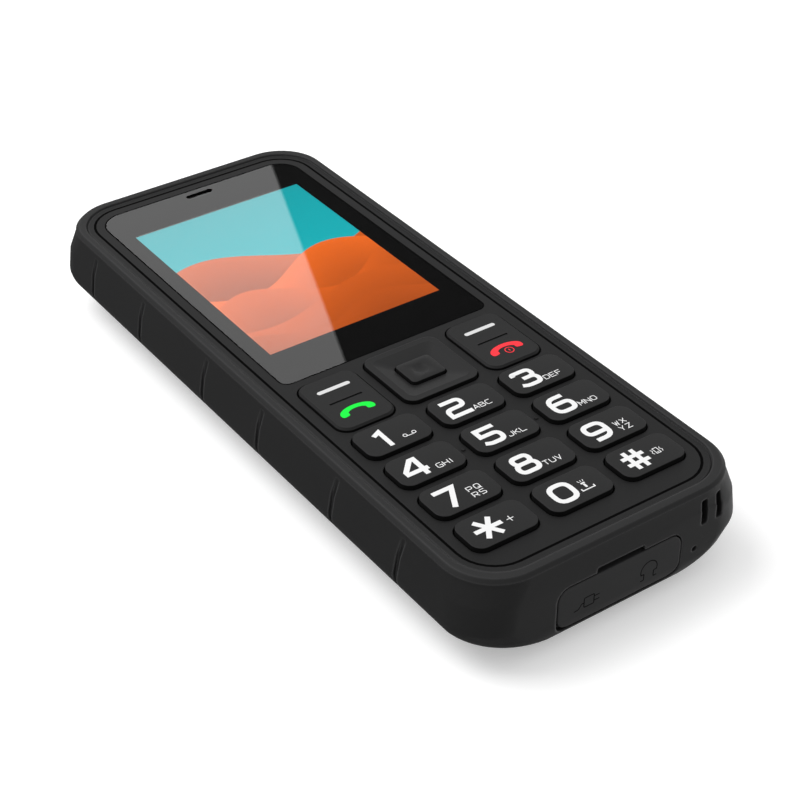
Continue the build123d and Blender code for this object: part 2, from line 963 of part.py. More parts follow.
# Keypad mat: a rubber sheet on a skirt, with a rib that each function key rocks on
mat_length = mat_top_end - mat_bottom_end
mat_mid = (mat_top_end + mat_bottom_end) / 2
with BuildPart() as keypad_mat:
    extrude(
        plain_face(board_top, mat_width, mat_length, (0, mat_mid)),
        amount=mat_top - board_top,
    )
    extrude(
        plain_face(
            board_top, mat_width - 2 * mat_skirt, mat_length - 2 * mat_skirt, (0, mat_mid)
        ),
        amount=dome_room,
        mode=Mode.SUBTRACT,
    )
    with BuildSketch(Plane.XY.offset(mat_top)):
        with Locations(*function_places):
            Rectangle(function_line, pivot_width)
    extrude(amount=rocker_bottom - rocker_pin - pivot_gap - mat_top)
keypad_mat.part.label = "keypad_mat"
export_step(keypad_mat.part, "parts/keypad_mat.step")

# Dome switches on the board, one under each plunger and foot
dome_places = key_places + rocker_places + nav_places + [(0, nav_mid)]
with BuildPart() as dome_switches:
    extrude(stud_faces(board_top, dome_radius, dome_places[:-5]), amount=dome_height)
    extrude(stud_faces(board_top, plunger_radius, dome_places[-5:]), amount=dome_height)
dome_switches.part.label = "dome_switches"
export_step(dome_switches.part, "parts/dome_switches.step")

# Main board
with BuildPart() as main_board:
    extrude(
        rounded_face(board_bottom, board_width, board_length, board_corner),
        amount=board_thickness,
    )
    extrude(
        stud_faces(board_bottom, screw_radius + screw_gap, screw_places),
        amount=board_thickness,
        mode=Mode.SUBTRACT,
    )
main_board.part.label = "main_board"
export_step(main_board.part, "parts/main_board.step")

# Shield can on the underside of the board
with BuildPart() as board_shield:
    extrude(
        plain_face(
            board_bottom - shield_wall, shield_width, shield_length, (0, shield_mid)
        ),
        amount=shield_wall,
    )
board_shield.part.label = "board_shield"
export_step(board_shield.part, "parts/board_shield.step")

# Screws that hold the board down on the frame's bosses
with BuildPart() as board_screws:
    extrude(stud_faces(board_top, screw_head_radius, screw_places), amount=screw_head_height)
    extrude(stud_faces(floor_top, screw_radius, screw_places), amount=board_top - floor_top)
board_screws.part.label = "board_screws"
export_step(board_screws.part, "parts/board_screws.step")

# Inner frame: a floor over the battery and a wall that carries the board
frame_inner_width = frame_width - 2 * frame_wall
frame_inner_length = frame_length - 2 * frame_wall
jack_inner_end = bay_end + jack_body_depth
with BuildPart() as inner_frame:
    extrude(
        rounded_face(seam_level, frame_width, frame_length, bay_corner - frame_gap, (0, frame_mid)),
        amount=board_bottom - seam_level,
    )
    for level, height in (
        (seam_level, floor_bottom - seam_level),
        (floor_top, board_bottom - floor_top),
    ):
        extrude(
            rounded_face(
                level,
                frame_inner_width,
                frame_inner_length,
                bay_corner - frame_gap - frame_wall,
                (0, frame_mid),
            ),
            amount=height,
            mode=Mode.SUBTRACT,
        )
    extrude(stud_faces(floor_top, boss_radius, screw_places), amount=board_bottom - floor_top)
    extrude(
        stud_faces(floor_top, screw_radius + screw_gap, screw_places),
        amount=board_bottom - floor_top,
        mode=Mode.SUBTRACT,
    )
    extrude(
        stud_faces(cover_wall, cover_boss_radius, cover_screw_places),
        amount=floor_bottom - cover_wall,
    )
    extrude(
        stud_faces(cover_wall, cover_screw_radius + screw_gap, cover_screw_places),
        amount=floor_bottom - cover_wall,
        mode=Mode.SUBTRACT,
    )
    jack_cut_length = jack_inner_end + frame_cut_gap - bay_end
    extrude(
        plain_face(
            seam_level,
            jack_body_width + 2 * frame_cut_gap,
            jack_cut_length,
            (jack_x, bay_end + jack_cut_length / 2),
        ),
        amount=board_bottom - seam_level,
        mode=Mode.SUBTRACT,
    )
inner_frame.part.label = "inner_frame"
export_step(inner_frame.part, "parts/inner_frame.step")

# Battery pack, its spring contacts and the card holder below the frame's floor
battery_mid = (battery_bottom_end + battery_top_end) / 2
with BuildPart() as battery:
    extrude(
        rounded_face(
            cover_wall, battery_width, battery_length, battery_corner, (0, battery_mid)
        ),
        amount=battery_thickness,
    )
battery.part.label = "battery"
export_step(battery.part, "parts/battery.step")

with BuildPart() as battery_contacts:
    extrude(
        plain_face(
            floor_bottom - contact_height,
            contact_width,
            contact_depth,
            (0, battery_top_end + contact_depth / 2),
        ),
        amount=contact_height,
    )
battery_contacts.part.label = "battery_contacts"
export_step(battery_contacts.part, "parts/battery_contacts.step")

with BuildPart() as sim_holder:
    extrude(
        plain_face(floor_bottom - sim_height, sim_width, sim_length, (0, sim_mid)),
        amount=sim_height,
    )
sim_holder.part.label = "sim_holder"
export_step(sim_holder.part, "parts/sim_holder.step")

# Back of the casing below the seam, hollowed for the battery and the parts beside it
with BuildPart() as rear_form:
    add(casing.part)
    extrude(
        plain_face(seam_level, body_width + overrun, body_length + overrun),
        amount=rim_level - seam_level + overrun,
        mode=Mode.SUBTRACT,
    )
    extrude(
        plain_face(-overrun, body_width + overrun, 2 * rear_end),
        amount=seam_level + overrun,
        mode=Mode.INTERSECT,
    )
    extrude(
        rounded_face(cover_wall, hollow_width, hollow_length, hollow_corner),
        amount=seam_level - cover_wall,
        mode=Mode.SUBTRACT,
    )

# Upper back: camera window, torch and loudspeaker slots
torch_place = (torch_x, rear_mid)
speaker_place = (speaker_x, rear_mid)
cover_top = cover_line - rear_gap
with BuildPart() as rear_housing:
    add(rear_form.part)
    extrude(
        plain_face(
            -overrun, body_width + overrun, rear_length, (0, cover_line - rear_length / 2)
        ),
        amount=seam_level + overrun,
        mode=Mode.SUBTRACT,
    )
    extrude(
        round_faces(0, camera_radius, [(0, rear_mid)]),
        amount=camera_window_thickness,
        mode=Mode.SUBTRACT,
    )
    extrude(
        round_faces(0, camera_radius - camera_ledge, [(0, rear_mid)]),
        amount=cover_wall,
        mode=Mode.SUBTRACT,
    )
    extrude(
        round_faces(0, torch_radius, [torch_place]), amount=cover_wall, mode=Mode.SUBTRACT
    )
    with BuildSketch():
        with Locations(speaker_place):
            with GridLocations(0, speaker_slot_pitch, 1, speaker_slots):
                Rectangle(speaker_slot_length, speaker_slot)
    extrude(amount=cover_wall, mode=Mode.SUBTRACT)
rear_housing.part.label = "rear_housing"
export_step(rear_housing.part, "parts/rear_housing.step")

with BuildPart() as camera_window:
    extrude(
        round_faces(0, camera_radius - lens_gap, [(0, rear_mid)]),
        amount=camera_window_thickness,
    )
camera_window.part.label = "camera_window"
export_step(camera_window.part, "parts/camera_window.step")

with BuildPart() as camera_module:
    extrude(
        plain_face(cover_wall, camera_width, camera_width, (0, rear_mid)),
        amount=floor_bottom - cover_wall,
    )
camera_module.part.label = "camera_module"
export_step(camera_module.part, "parts/camera_module.step")

with BuildPart() as torch_lens:
    extrude(round_faces(0, torch_radius - lens_gap, [torch_place]), amount=cover_wall)
    extrude(
        stud_faces(cover_wall, torch_radius + torch_flange, [torch_place]),
        amount=torch_thickness - cover_wall,
    )
torch_lens.part.label = "torch_lens"
export_step(torch_lens.part, "parts/torch_lens.step")

with BuildPart() as speaker_mesh:
    extrude(
        plain_face(cover_wall, speaker_width, speaker_length, speaker_place),
        amount=mesh_thickness,
    )
speaker_mesh.part.label = "speaker_mesh"
export_step(speaker_mesh.part, "parts/speaker_mesh.step")

speaker_bottom = cover_wall + mesh_thickness
with BuildPart() as loudspeaker:
    extrude(
        plain_face(speaker_bottom, speaker_width, speaker_length, speaker_place),
        amount=floor_bottom - speaker_bottom,
    )
loudspeaker.part.label = "loudspeaker"
export_step(loudspeaker.part, "parts/loudspeaker.step")

with BuildPart() as vibration_motor:
    extrude(
        stud_faces(floor_bottom - motor_height, motor_radius, [(motor_x, motor_y)]),
        amount=motor_height,
    )
vibration_motor.part.label = "vibration_motor"
export_step(vibration_motor.part, "parts/vibration_motor.step")

with BuildPart() as antenna:
    extrude(
        plain_face(floor_top, antenna_width, antenna_length, (0, antenna_mid)),
        amount=antenna_thickness,
    )
antenna.part.label = "antenna"
export_step(antenna.part, "parts/antenna.step")

# Battery cover: the lower back, hooked under the upper back and held by two screws
seal_ring_width = frame_width - frame_wall
seal_ring_length = 2 * rear_end - hollow_end
seal_level = seam_level - groove_seal_height
cover_tab_mid = cover_top + (cover_tab_reach - cover_tab_root) / 2
with BuildPart() as battery_cover:
    add(rear_form.part)
    extrude(
        plain_face(
            -overrun, body_width + overrun, rear_length, (0, cover_top + rear_length / 2)
        ),
        amount=seam_level + overrun,
        mode=Mode.SUBTRACT,
    )
    with BuildSketch(Plane.XY.offset(cover_wall)):
        with Locations(*[(side * cover_tab_x, cover_tab_mid) for side in (-1, 1)]):
            Rectangle(cover_tab_width, cover_tab_reach + cover_tab_root)
    extrude(amount=frame_floor)
    extrude(
        stud_faces(0, cover_screw_radius + screw_gap, cover_screw_places),
        amount=cover_wall,
        mode=Mode.SUBTRACT,
    )
    extrude(
        round_faces(0, cover_screw_head + screw_gap, cover_screw_places),
        amount=cover_screw_sink + cover_screw_head_height,
        mode=Mode.SUBTRACT,
    )
    with BuildSketch(Plane.XY.offset(seal_level)):
        RectangleRounded(
            seal_ring_width + groove_seal_width,
            seal_ring_length + groove_seal_width,
            hollow_corner + groove_seal_width,
        )
        RectangleRounded(
            seal_ring_width - groove_seal_width,
            seal_ring_length - groove_seal_width,
            hollow_corner,
            mode=Mode.SUBTRACT,
        )
    extrude(amount=groove_seal_height, mode=Mode.SUBTRACT)
battery_cover.part.label = "battery_cover"
export_step(battery_cover.part, "parts/battery_cover.step")

# Rubber seal in the cover's rim, along its two sides and its bottom end
with BuildPart() as cover_seal:
    with BuildSketch(Plane.XY.offset(seal_level)):
        RectangleRounded(
            seal_ring_width + groove_seal_width,
            seal_ring_length + groove_seal_width,
            hollow_corner + groove_seal_width,
        )
        RectangleRounded(
            seal_ring_width - groove_seal_width,
            seal_ring_length - groove_seal_width,
            hollow_corner,
            mode=Mode.SUBTRACT,
        )
        with Locations((0, cover_top + rear_length / 2)):
            Rectangle(body_width, rear_length, mode=Mode.SUBTRACT)
    extrude(amount=groove_seal_height)
cover_seal.part.label = "cover_seal"
export_step(cover_seal.part, "parts/cover_seal.step")

# Screws of the battery cover, sunk into its face
with BuildPart() as cover_screws:
    extrude(
        round_faces(cover_screw_sink, cover_screw_head, cover_screw_places),
        amount=cover_screw_head_height,
    )
    extrude(
        stud_faces(cover_screw_sink, cover_screw_radius, cover_screw_places),
        amount=floor_bottom - cover_screw_sink,
    )
    with BuildSketch(Plane.XY.offset(cover_screw_sink)):
        with Locations(*cover_screw_places):
            Rectangle(2 * cover_screw_head, groove_seal_width)
    extrude(amount=cover_screw_head_height / 2, mode=Mode.SUBTRACT)
cover_screws.part.label = "cover_screws"
export_step(cover_screws.part, "parts/cover_screws.step")

# Sockets and microphone behind the bottom end
usb_bottom = port_level - usb_mouth_height / 2 - usb_sill
with BuildPart() as usb_socket:
    extrude(
        plain_face(
            usb_bottom, usb_body_width, usb_body_depth, (usb_x, bay_end + usb_body_depth / 2)
        ),
        amount=board_bottom - usb_bottom,
    )
    extrude(
        end_face(
            bay_end, usb_mouth_width, usb_mouth_height, usb_corner, (usb_x, port_level)
        ),
        amount=-usb_mouth_depth,
        mode=Mode.SUBTRACT,
    )
usb_socket.part.label = "usb_socket"
export_step(usb_socket.part, "parts/usb_socket.step")

jack_bottom = port_level - jack_bore_radius - jack_sill
with BuildPart() as headphone_socket:
    extrude(
        plain_face(
            jack_bottom, jack_body_width, jack_body_depth, (jack_x, bay_end + jack_body_depth / 2)
        ),
        amount=board_bottom - jack_bottom,
    )
    with BuildSketch(end_plane(bay_end)):
        with Locations((jack_x, port_level)):
            Circle(jack_bore_radius)
    extrude(amount=-jack_bore_depth, mode=Mode.SUBTRACT)
headphone_socket.part.label = "headphone_socket"
export_step(headphone_socket.part, "parts/headphone_socket.step")

mic_bottom = mic_level - mic_sill
with BuildPart() as microphone:
    extrude(
        plain_face(mic_bottom, mic_width, mic_depth, (mic_x, bay_end + mic_depth / 2)),
        amount=board_bottom - mic_bottom,
    )
microphone.part.label = "microphone"
export_step(microphone.part, "parts/microphone.step")

# Port flap: follows the casing's curve outside, turns on a bead along its lower edge
flap_face_y = end_y + flap_inset
flap_axis_y = end_y + flap_axis_inset
flap_height = flap_top - flap_axis_level
flap_bead_length = flap_width - 2 * flap_corner
with BuildPart() as port_flap:
    with BuildSketch(end_plane(flap_face_y)):
        with Locations((0, flap_axis_level + flap_height / 2)):
            RectangleRounded(flap_width, flap_height, flap_corner)
    extrude(amount=flap_inset + overrun)
    add(casing.part, mode=Mode.INTERSECT)
    with BuildSketch(Plane.YZ.offset(-flap_bead_length / 2)):
        with Locations((flap_axis_y, flap_axis_level)):
            Circle(flap_bead)
    extrude(amount=flap_bead_length)
    with BuildSketch(end_plane(flap_face_y)):
        with Locations((usb_x, port_level)):
            RectangleRounded(usb_hole_width - 2 * lug_gap, lug_usb_height, lug_usb_height / 3)
        with Locations((jack_x, port_level)):
            Circle(jack_hole_radius - lug_gap)
    extrude(amount=-lug_length)
port_flap.part.label = "port_flap"
export_step(port_flap.part, "parts/port_flap.step")
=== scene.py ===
"""Looks of a rugged bar phone: moulded casing, glass front, printed keys and a plain studio."""

import math

import bmesh
import bpy
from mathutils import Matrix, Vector


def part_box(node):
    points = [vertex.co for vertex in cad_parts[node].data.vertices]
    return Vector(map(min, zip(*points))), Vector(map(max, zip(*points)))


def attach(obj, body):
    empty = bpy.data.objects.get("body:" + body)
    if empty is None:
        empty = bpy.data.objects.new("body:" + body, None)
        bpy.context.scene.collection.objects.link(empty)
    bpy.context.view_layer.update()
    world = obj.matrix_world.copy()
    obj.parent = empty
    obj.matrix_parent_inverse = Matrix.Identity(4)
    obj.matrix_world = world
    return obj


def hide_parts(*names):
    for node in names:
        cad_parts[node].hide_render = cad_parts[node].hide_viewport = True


bl_info = {
    "name": "Rugged bar phone",
    "version": (1, 0, 0),
    "blender": (4, 5, 0),
    "location": "3D View > Sidebar > Phone",
    "description": "Dresses the packed phone with finishes, key legends, a screen and a stage",
    "category": "Object",
}

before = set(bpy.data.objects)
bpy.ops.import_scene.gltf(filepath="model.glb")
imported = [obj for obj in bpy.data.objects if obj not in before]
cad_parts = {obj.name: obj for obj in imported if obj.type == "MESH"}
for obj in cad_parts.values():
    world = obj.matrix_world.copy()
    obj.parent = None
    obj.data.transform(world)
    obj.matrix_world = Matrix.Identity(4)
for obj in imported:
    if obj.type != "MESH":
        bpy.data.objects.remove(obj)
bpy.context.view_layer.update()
MM = 0.001

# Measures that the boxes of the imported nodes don't give, in millimetres
screen_middle, screen_width, screen_height = (0.0, 28.85), 36.72, 48.96
lens_corners = (4.8, 1.8)
earpiece_drop = 2.0
panel_width, panel_length, panel_corner = 46.9, 128.1, 6.5
key_flange, key_gap = 0.5, 0.3
socket_level = 7.9
end_lean = 0.0375
ink_depth = 0.03


# Settings that a user would change


class PhoneColours(bpy.types.PropertyGroup):
    """Colours of the moulded, printed and lit surfaces."""

    casing: bpy.props.FloatVectorProperty(
        name="Casing", description="Soft-touch moulding of the casing",
        subtype="COLOR", size=3, min=0, max=1, default=(0.0115, 0.0115, 0.0117))
    panel: bpy.props.FloatVectorProperty(
        name="Panel", description="Plastic round the lens and the keys",
        subtype="COLOR", size=3, min=0, max=1, default=(0.0090, 0.0090, 0.0092))
    keys: bpy.props.FloatVectorProperty(
        name="Keys", description="Key caps",
        subtype="COLOR", size=3, min=0, max=1, default=(0.0140, 0.0140, 0.0142))
    legend: bpy.props.FloatVectorProperty(
        name="Legend", description="White ink of the digits and letters",
        subtype="COLOR", size=3, min=0, max=1, default=(0.80, 0.80, 0.80))
    call: bpy.props.FloatVectorProperty(
        name="Call", description="Green ink of the call mark",
        subtype="COLOR", size=3, min=0, max=1, default=(0.0, 0.86, 0.05))
    end: bpy.props.FloatVectorProperty(
        name="End", description="Red ink of the end mark",
        subtype="COLOR", size=3, min=0, max=1, default=(1.0, 0.03, 0.045))
    sky: bpy.props.FloatVectorProperty(
        name="Screen sky", description="Blue-green upper part of the screen's picture",
        subtype="COLOR", size=3, min=0, max=1, default=(0.004, 0.41, 0.45))
    dune: bpy.props.FloatVectorProperty(
        name="Screen wave", description="Orange waves of the screen's picture",
        subtype="COLOR", size=3, min=0, max=1, default=(0.80, 0.13, 0.010))


class PhoneSizes(bpy.types.PropertyGroup):
    """Sizes of the legends and of the rounded edges."""

    digit_height: bpy.props.FloatProperty(
        name="Digit height", description="Height of a key's digit",
        unit="LENGTH", default=0.00495)
    digit_width: bpy.props.FloatProperty(
        name="Digit width", description="Width of a key's digit",
        unit="LENGTH", default=0.0046)
    digit_stroke: bpy.props.FloatProperty(
        name="Digit stroke", description="Stroke of a key's digit",
        unit="LENGTH", default=0.00092)
    letter_height: bpy.props.FloatProperty(
        name="Letter height", description="Height of a key's letters",
        unit="LENGTH", default=0.00125)
    letter_stroke: bpy.props.FloatProperty(
        name="Letter stroke", description="Stroke of a key's letters",
        unit="LENGTH", default=0.00015)
    edge_round: bpy.props.FloatProperty(
        name="Edge rounding", description="Radius that moulded edges are softened to",
        unit="LENGTH", default=0.0004)


class PhoneStage(bpy.types.PropertyGroup):
    """Camera and light of the stage."""

    camera_place: bpy.props.FloatVectorProperty(
        name="Camera place", description="Where the camera stands",
        subtype="TRANSLATION", unit="LENGTH", size=3, default=(-0.15553, -0.22924, 0.20215))
    camera_aim: bpy.props.FloatVectorProperty(
        name="Camera aim", description="The point that the camera looks at",
        subtype="TRANSLATION", unit="LENGTH", size=3, default=(-0.007895, -0.020114, 0.0178))
    camera_lens: bpy.props.FloatProperty(
        name="Lens", description="Focal length in millimetres", default=84.16)
    glass_level: bpy.props.FloatProperty(
        name="Glass level", description="Height of the glass that mirrors the dark card",
        unit="LENGTH", default=0.0178)
    card_reach: bpy.props.FloatProperty(
        name="Card reach", description="How far off the dark card hangs, as a share",
        default=3.2)
    key_light: bpy.props.FloatProperty(
        name="Key light", description="Power of the large soft light", default=5.0)
    sky_light: bpy.props.FloatProperty(
        name="Sky light", description="Strength of the even light from all sides", default=0.75)
    under_light: bpy.props.FloatProperty(
        name="Under light", description="Strength that gloss sees from below", default=0.25)
    right_light: bpy.props.FloatProperty(
        name="Right light", description="Strength that gloss sees from the lower right",
        default=1.3)


# Shader nodes


def link(tree, source, target):
    """Joins two sockets of a node tree."""
    tree.links.new(source, target)


def feed(tree, socket, value):
    """Feeds a socket from another socket or with a plain value; None leaves it as it is."""
    if isinstance(value, bpy.types.NodeSocket):
        link(tree, value, socket)
    elif value is not None:
        socket.default_value = value


def set_values(node, values):
    """Sets plain values on a node's inputs."""
    for name, value in values.items():
        node.inputs[name].default_value = value


def math_node(tree, operation, first, second=None):
    """A math node; its inputs are sockets or plain numbers."""
    node = tree.nodes.new("ShaderNodeMath")
    node.operation = operation
    for socket, value in zip(node.inputs, (first, second)):
        feed(tree, socket, value)
    return node.outputs[0]


def clamped(tree, value):
    """A value kept between 0 and 1."""
    return math_node(tree, "MINIMUM", math_node(tree, "MAXIMUM", value, 0.0), 1.0)


def ramp_node(tree, value, low, high, start=0.0, stop=1.0):
    """A value that goes from start to stop while another goes from low to high."""
    node = tree.nodes.new("ShaderNodeMapRange")
    for name, given in (("Value", value), ("From Min", low), ("From Max", high),
                        ("To Min", start), ("To Max", stop)):
        feed(tree, node.inputs[name], given)
    return node.outputs[0]


def split_axes(tree, source):
    """The three axes of a vector socket."""
    split = tree.nodes.new("ShaderNodeSeparateXYZ")
    link(tree, source, split.inputs[0])
    return split.outputs


def place_axes(tree, kind):
    """The three axes of a texture coordinate of a kind."""
    place = tree.nodes.new("ShaderNodeTexCoord")
    return split_axes(tree, place.outputs[kind])


def noise_node(tree, scale, detail):
    """A noise texture in object coordinates, with its scale as a socket or a number."""
    place = tree.nodes.new("ShaderNodeTexCoord")
    noise = tree.nodes.new("ShaderNodeTexNoise")
    noise.inputs["Detail"].default_value = detail
    link(tree, place.outputs["Object"], noise.inputs["Vector"])
    feed(tree, noise.inputs["Scale"], scale)
    return noise.outputs["Fac"]


def mix_colours(tree, factor, first, second):
    """A colour mixed by a varying factor; first and second are colours or sockets."""
    node = tree.nodes.new("ShaderNodeMix")
    node.data_type = "RGBA"
    link(tree, factor, node.inputs["Factor"])
    for socket, value in ((node.inputs[6], first), (node.inputs[7], second)):
        plain = not isinstance(value, bpy.types.NodeSocket)
        feed(tree, socket, (*value, 1.0) if plain else value)
    return node.outputs[2]


def add_bump(tree, shader, height, values, normal=None):
    """Raises a shader's surface by a varying height, over a normal where one is given."""
    bump = tree.nodes.new("ShaderNodeBump")
    set_values(bump, values)
    link(tree, height, bump.inputs["Height"])
    if normal is not None:
        link(tree, normal, bump.inputs["Normal"])
    link(tree, bump.outputs["Normal"], shader.inputs["Normal"])


# Shader node groups


def new_group(name, inputs, outputs):
    """An empty shader node group with its sockets; returns the tree, its inputs and its outputs."""
    tree = bpy.data.node_groups.new(name, "ShaderNodeTree")
    for socket_name, value in inputs.items():
        socket = tree.interface.new_socket(
            socket_name, in_out="INPUT", socket_type="NodeSocketFloat")
        socket.default_value = value
    for socket_name, socket_type in outputs.items():
        tree.interface.new_socket(socket_name, in_out="OUTPUT", socket_type=socket_type)
    entry = tree.nodes.new("NodeGroupInput")
    leave = tree.nodes.new("NodeGroupOutput")
    return tree, entry.outputs, leave.inputs


def make_moulded_grain():
    """Fine grain and faint mottling of moulded plastic: a shade, a roughness and a height."""
    tree, given, wanted = new_group(
        "moulded_grain", {"Grain Scale": 5000.0, "Roughness": 0.5, "Spread": 0.1},
        {"Shade": "NodeSocketFloat", "Roughness": "NodeSocketFloat", "Height": "NodeSocketFloat"})
    grain_detail, mottle_scale, mottle_detail, half = 3.0, 70.0, 2.0, 0.5
    grain = noise_node(tree, given["Grain Scale"], grain_detail)
    mottle = noise_node(tree, mottle_scale, mottle_detail)
    shade = math_node(tree, "ADD", math_node(tree, "MULTIPLY", grain, half),
                      math_node(tree, "MULTIPLY", mottle, half))
    link(tree, shade, wanted["Shade"])
    swing = math_node(tree, "MULTIPLY", math_node(tree, "SUBTRACT", mottle, half), given["Spread"])
    link(tree, math_node(tree, "ADD", swing, given["Roughness"]), wanted["Roughness"])
    link(tree, grain, wanted["Height"])


def make_edge_round_and_light_mask():
    """Softened edges: the normal rounded over a radius, and a mask of the edges, along which the
    finishes paint highlights, and shade where their edge light is under 1.
    """
    tree, given, wanted = new_group(
        "edge_round_and_light_mask", {"Radius": 0.0004, "Reach": 6.0},
        {"Normal": "NodeSocketVector", "Edge": "NodeSocketFloat"})
    bevel = tree.nodes.new("ShaderNodeBevel")
    bevel.samples = 6
    link(tree, given["Radius"], bevel.inputs["Radius"])
    surface = tree.nodes.new("ShaderNodeNewGeometry")
    compare = tree.nodes.new("ShaderNodeVectorMath")
    compare.operation = "DOT_PRODUCT"
    link(tree, bevel.outputs["Normal"], compare.inputs[0])
    link(tree, surface.outputs["Normal"], compare.inputs[1])
    turn = math_node(tree, "SUBTRACT", 1.0, compare.outputs["Value"])
    edge_mask = math_node(tree, "MINIMUM", math_node(tree, "MULTIPLY", turn, given["Reach"]), 1.0)
    link(tree, bevel.outputs["Normal"], wanted["Normal"])
    link(tree, edge_mask, wanted["Edge"])


def make_woven_mesh():
    """Threads that cross in a fine square weave: 1 on a thread's crown, 0 in a hole."""
    tree, given, wanted = new_group(
        "woven_mesh", {"Threads": 20000.0}, {"Thread": "NodeSocketFloat"})
    axes = place_axes(tree, "Object")
    rows = [math_node(tree, "ABSOLUTE", math_node(tree, "SINE", math_node(
        tree, "MULTIPLY", axes[axis], given["Threads"]))) for axis in (0, 1)]
    link(tree, math_node(tree, "MAXIMUM", *rows), wanted["Thread"])


def make_upward_faces():
    """A mask of the faces that look up: 1 on a key's top, 0 on its walls."""
    tree, given, wanted = new_group(
        "upward_faces", {"Wall": 0.35, "Top": 0.8}, {"Upward": "NodeSocketFloat"})
    surface = tree.nodes.new("ShaderNodeNewGeometry")
    up = split_axes(tree, surface.outputs["True Normal"])[2]
    link(tree, ramp_node(tree, up, given["Wall"], given["Top"]), wanted["Upward"])


def place_group(tree, name, values):
    """Puts a shared node group into a tree with its own values."""
    node = tree.nodes.new("ShaderNodeGroup")
    node.node_tree = bpy.data.node_groups[name]
    set_values(node, values)
    return node.outputs


# Finishes


def new_material(name):
    """An empty material; returns it, its node tree and its surface shader."""
    material = bpy.data.materials.new(name)
    material.use_nodes = True
    tree = material.node_tree
    return material, tree, tree.nodes["Principled BSDF"]


def shaded(colour, factor):
    """A colour made darker or lighter by a factor."""
    return tuple(min(1.0, channel * factor) for channel in colour)


def moulded_finish(name, colour, roughness, grain=5000.0, edge=0.0004, painted_edge_light=1.6,
                   specular=0.14, metallic=0.0, painted_wall_shade=False, crest=None):
    """Moulded plastic, rubber or metal: grain, mottling and rounded edges, painted lighter as
    highlights, and darker as shade where the edge light is under 1.

    Walls can be painted darker than the faces that look up, as painted shade, and a crest, given by
    its lowest and highest level, painted lighter, as a painted highlight.
    """
    mottling, wall_shade_share, wall_dullness, crest_highlight, grain_depth = 0.18, 0.05, 0.5, 2.6, 0.00001
    material, tree, shader = new_material(name)
    grained = place_group(tree, "moulded_grain",
                          {"Grain Scale": grain, "Roughness": roughness, "Spread": 0.12})
    rounded_edges = place_group(tree, "edge_round_and_light_mask", {"Radius": edge, "Reach": 5.0})
    body = mix_colours(tree, grained["Shade"], shaded(colour, 1 - mottling),
                       shaded(colour, 1 + mottling))
    # Painted highlight along the edges; an edge light under 1 paints shade there instead
    surface = mix_colours(tree, rounded_edges["Edge"], body, shaded(colour, painted_edge_light))
    rough = grained["Roughness"]
    # Painted shade: the walls, faces that don't look up, are darkened
    if painted_wall_shade:
        upward = place_group(tree, "upward_faces", {"Wall": 0.35, "Top": 0.8})["Upward"]
        surface = mix_colours(tree, upward, shaded(colour, wall_shade_share), surface)
        wall = math_node(tree, "SUBTRACT", 1.0, upward)
        rough = math_node(tree, "ADD", rough, math_node(tree, "MULTIPLY", wall, wall_dullness))
    # Painted highlight: the crest above a level is lighter
    if crest:
        level = place_axes(tree, "Object")[2]
        high = ramp_node(tree, level, crest[0] * MM, crest[1] * MM)
        surface = mix_colours(tree, high, surface, shaded(colour, crest_highlight))
    link(tree, surface, shader.inputs["Base Color"])
    link(tree, rough, shader.inputs["Roughness"])
    add_bump(tree, shader, grained["Height"], {"Strength": 0.35, "Distance": grain_depth},
             rounded_edges["Normal"])
    set_values(shader, {"Specular IOR Level": specular, "Metallic": metallic})
    return material


def key_finish(name, roughness):
    """Key plastic with crisp edges, painted highlights along them, and walls painted dark as shade.
    """
    scene = bpy.context.scene
    return moulded_finish(name, scene.phone_colours.keys, roughness, grain=7000.0,
                          edge=scene.phone_sizes.edge_round / 5, painted_wall_shade=True)


def ink_finish(name, colour, specular=0.2):
    """Printed ink: an even colour with a little wear in its shade and gloss."""
    wear = 0.04
    material, tree, shader = new_material(name)
    grained = place_group(tree, "moulded_grain",
                          {"Grain Scale": 9000.0, "Roughness": 0.5, "Spread": 0.1})
    link(tree, mix_colours(tree, grained["Shade"], shaded(colour, 1 - wear),
                           shaded(colour, 1 + wear)), shader.inputs["Base Color"])
    link(tree, grained["Roughness"], shader.inputs["Roughness"])
    set_values(shader, {"Specular IOR Level": specular})
    return material


def glass_finish(name, tint, roughness, bend=1.5):
    """Clear glass with faint smears in its gloss."""
    material, tree, shader = new_material(name)
    grained = place_group(tree, "moulded_grain",
                          {"Grain Scale": 300.0, "Roughness": roughness, "Spread": 0.02})
    link(tree, grained["Roughness"], shader.inputs["Roughness"])
    set_values(shader, {"Base Color": (*tint, 1.0), "Transmission Weight": 1.0, "IOR": bend})
    return material


def mesh_finish(name, colour, pitch):
    """Woven mesh: bright thread crowns over dark holes."""
    hole_share = 0.1
    material, tree, shader = new_material(name)
    woven = place_group(tree, "woven_mesh", {"Threads": 2 * math.pi / (pitch * MM)})
    link(tree, mix_colours(tree, woven["Thread"], shaded(colour, hole_share), colour),
         shader.inputs["Base Color"])
    add_bump(tree, shader, woven["Thread"], {"Distance": 0.00005})
    set_values(shader, {"Roughness": 0.45})
    return material


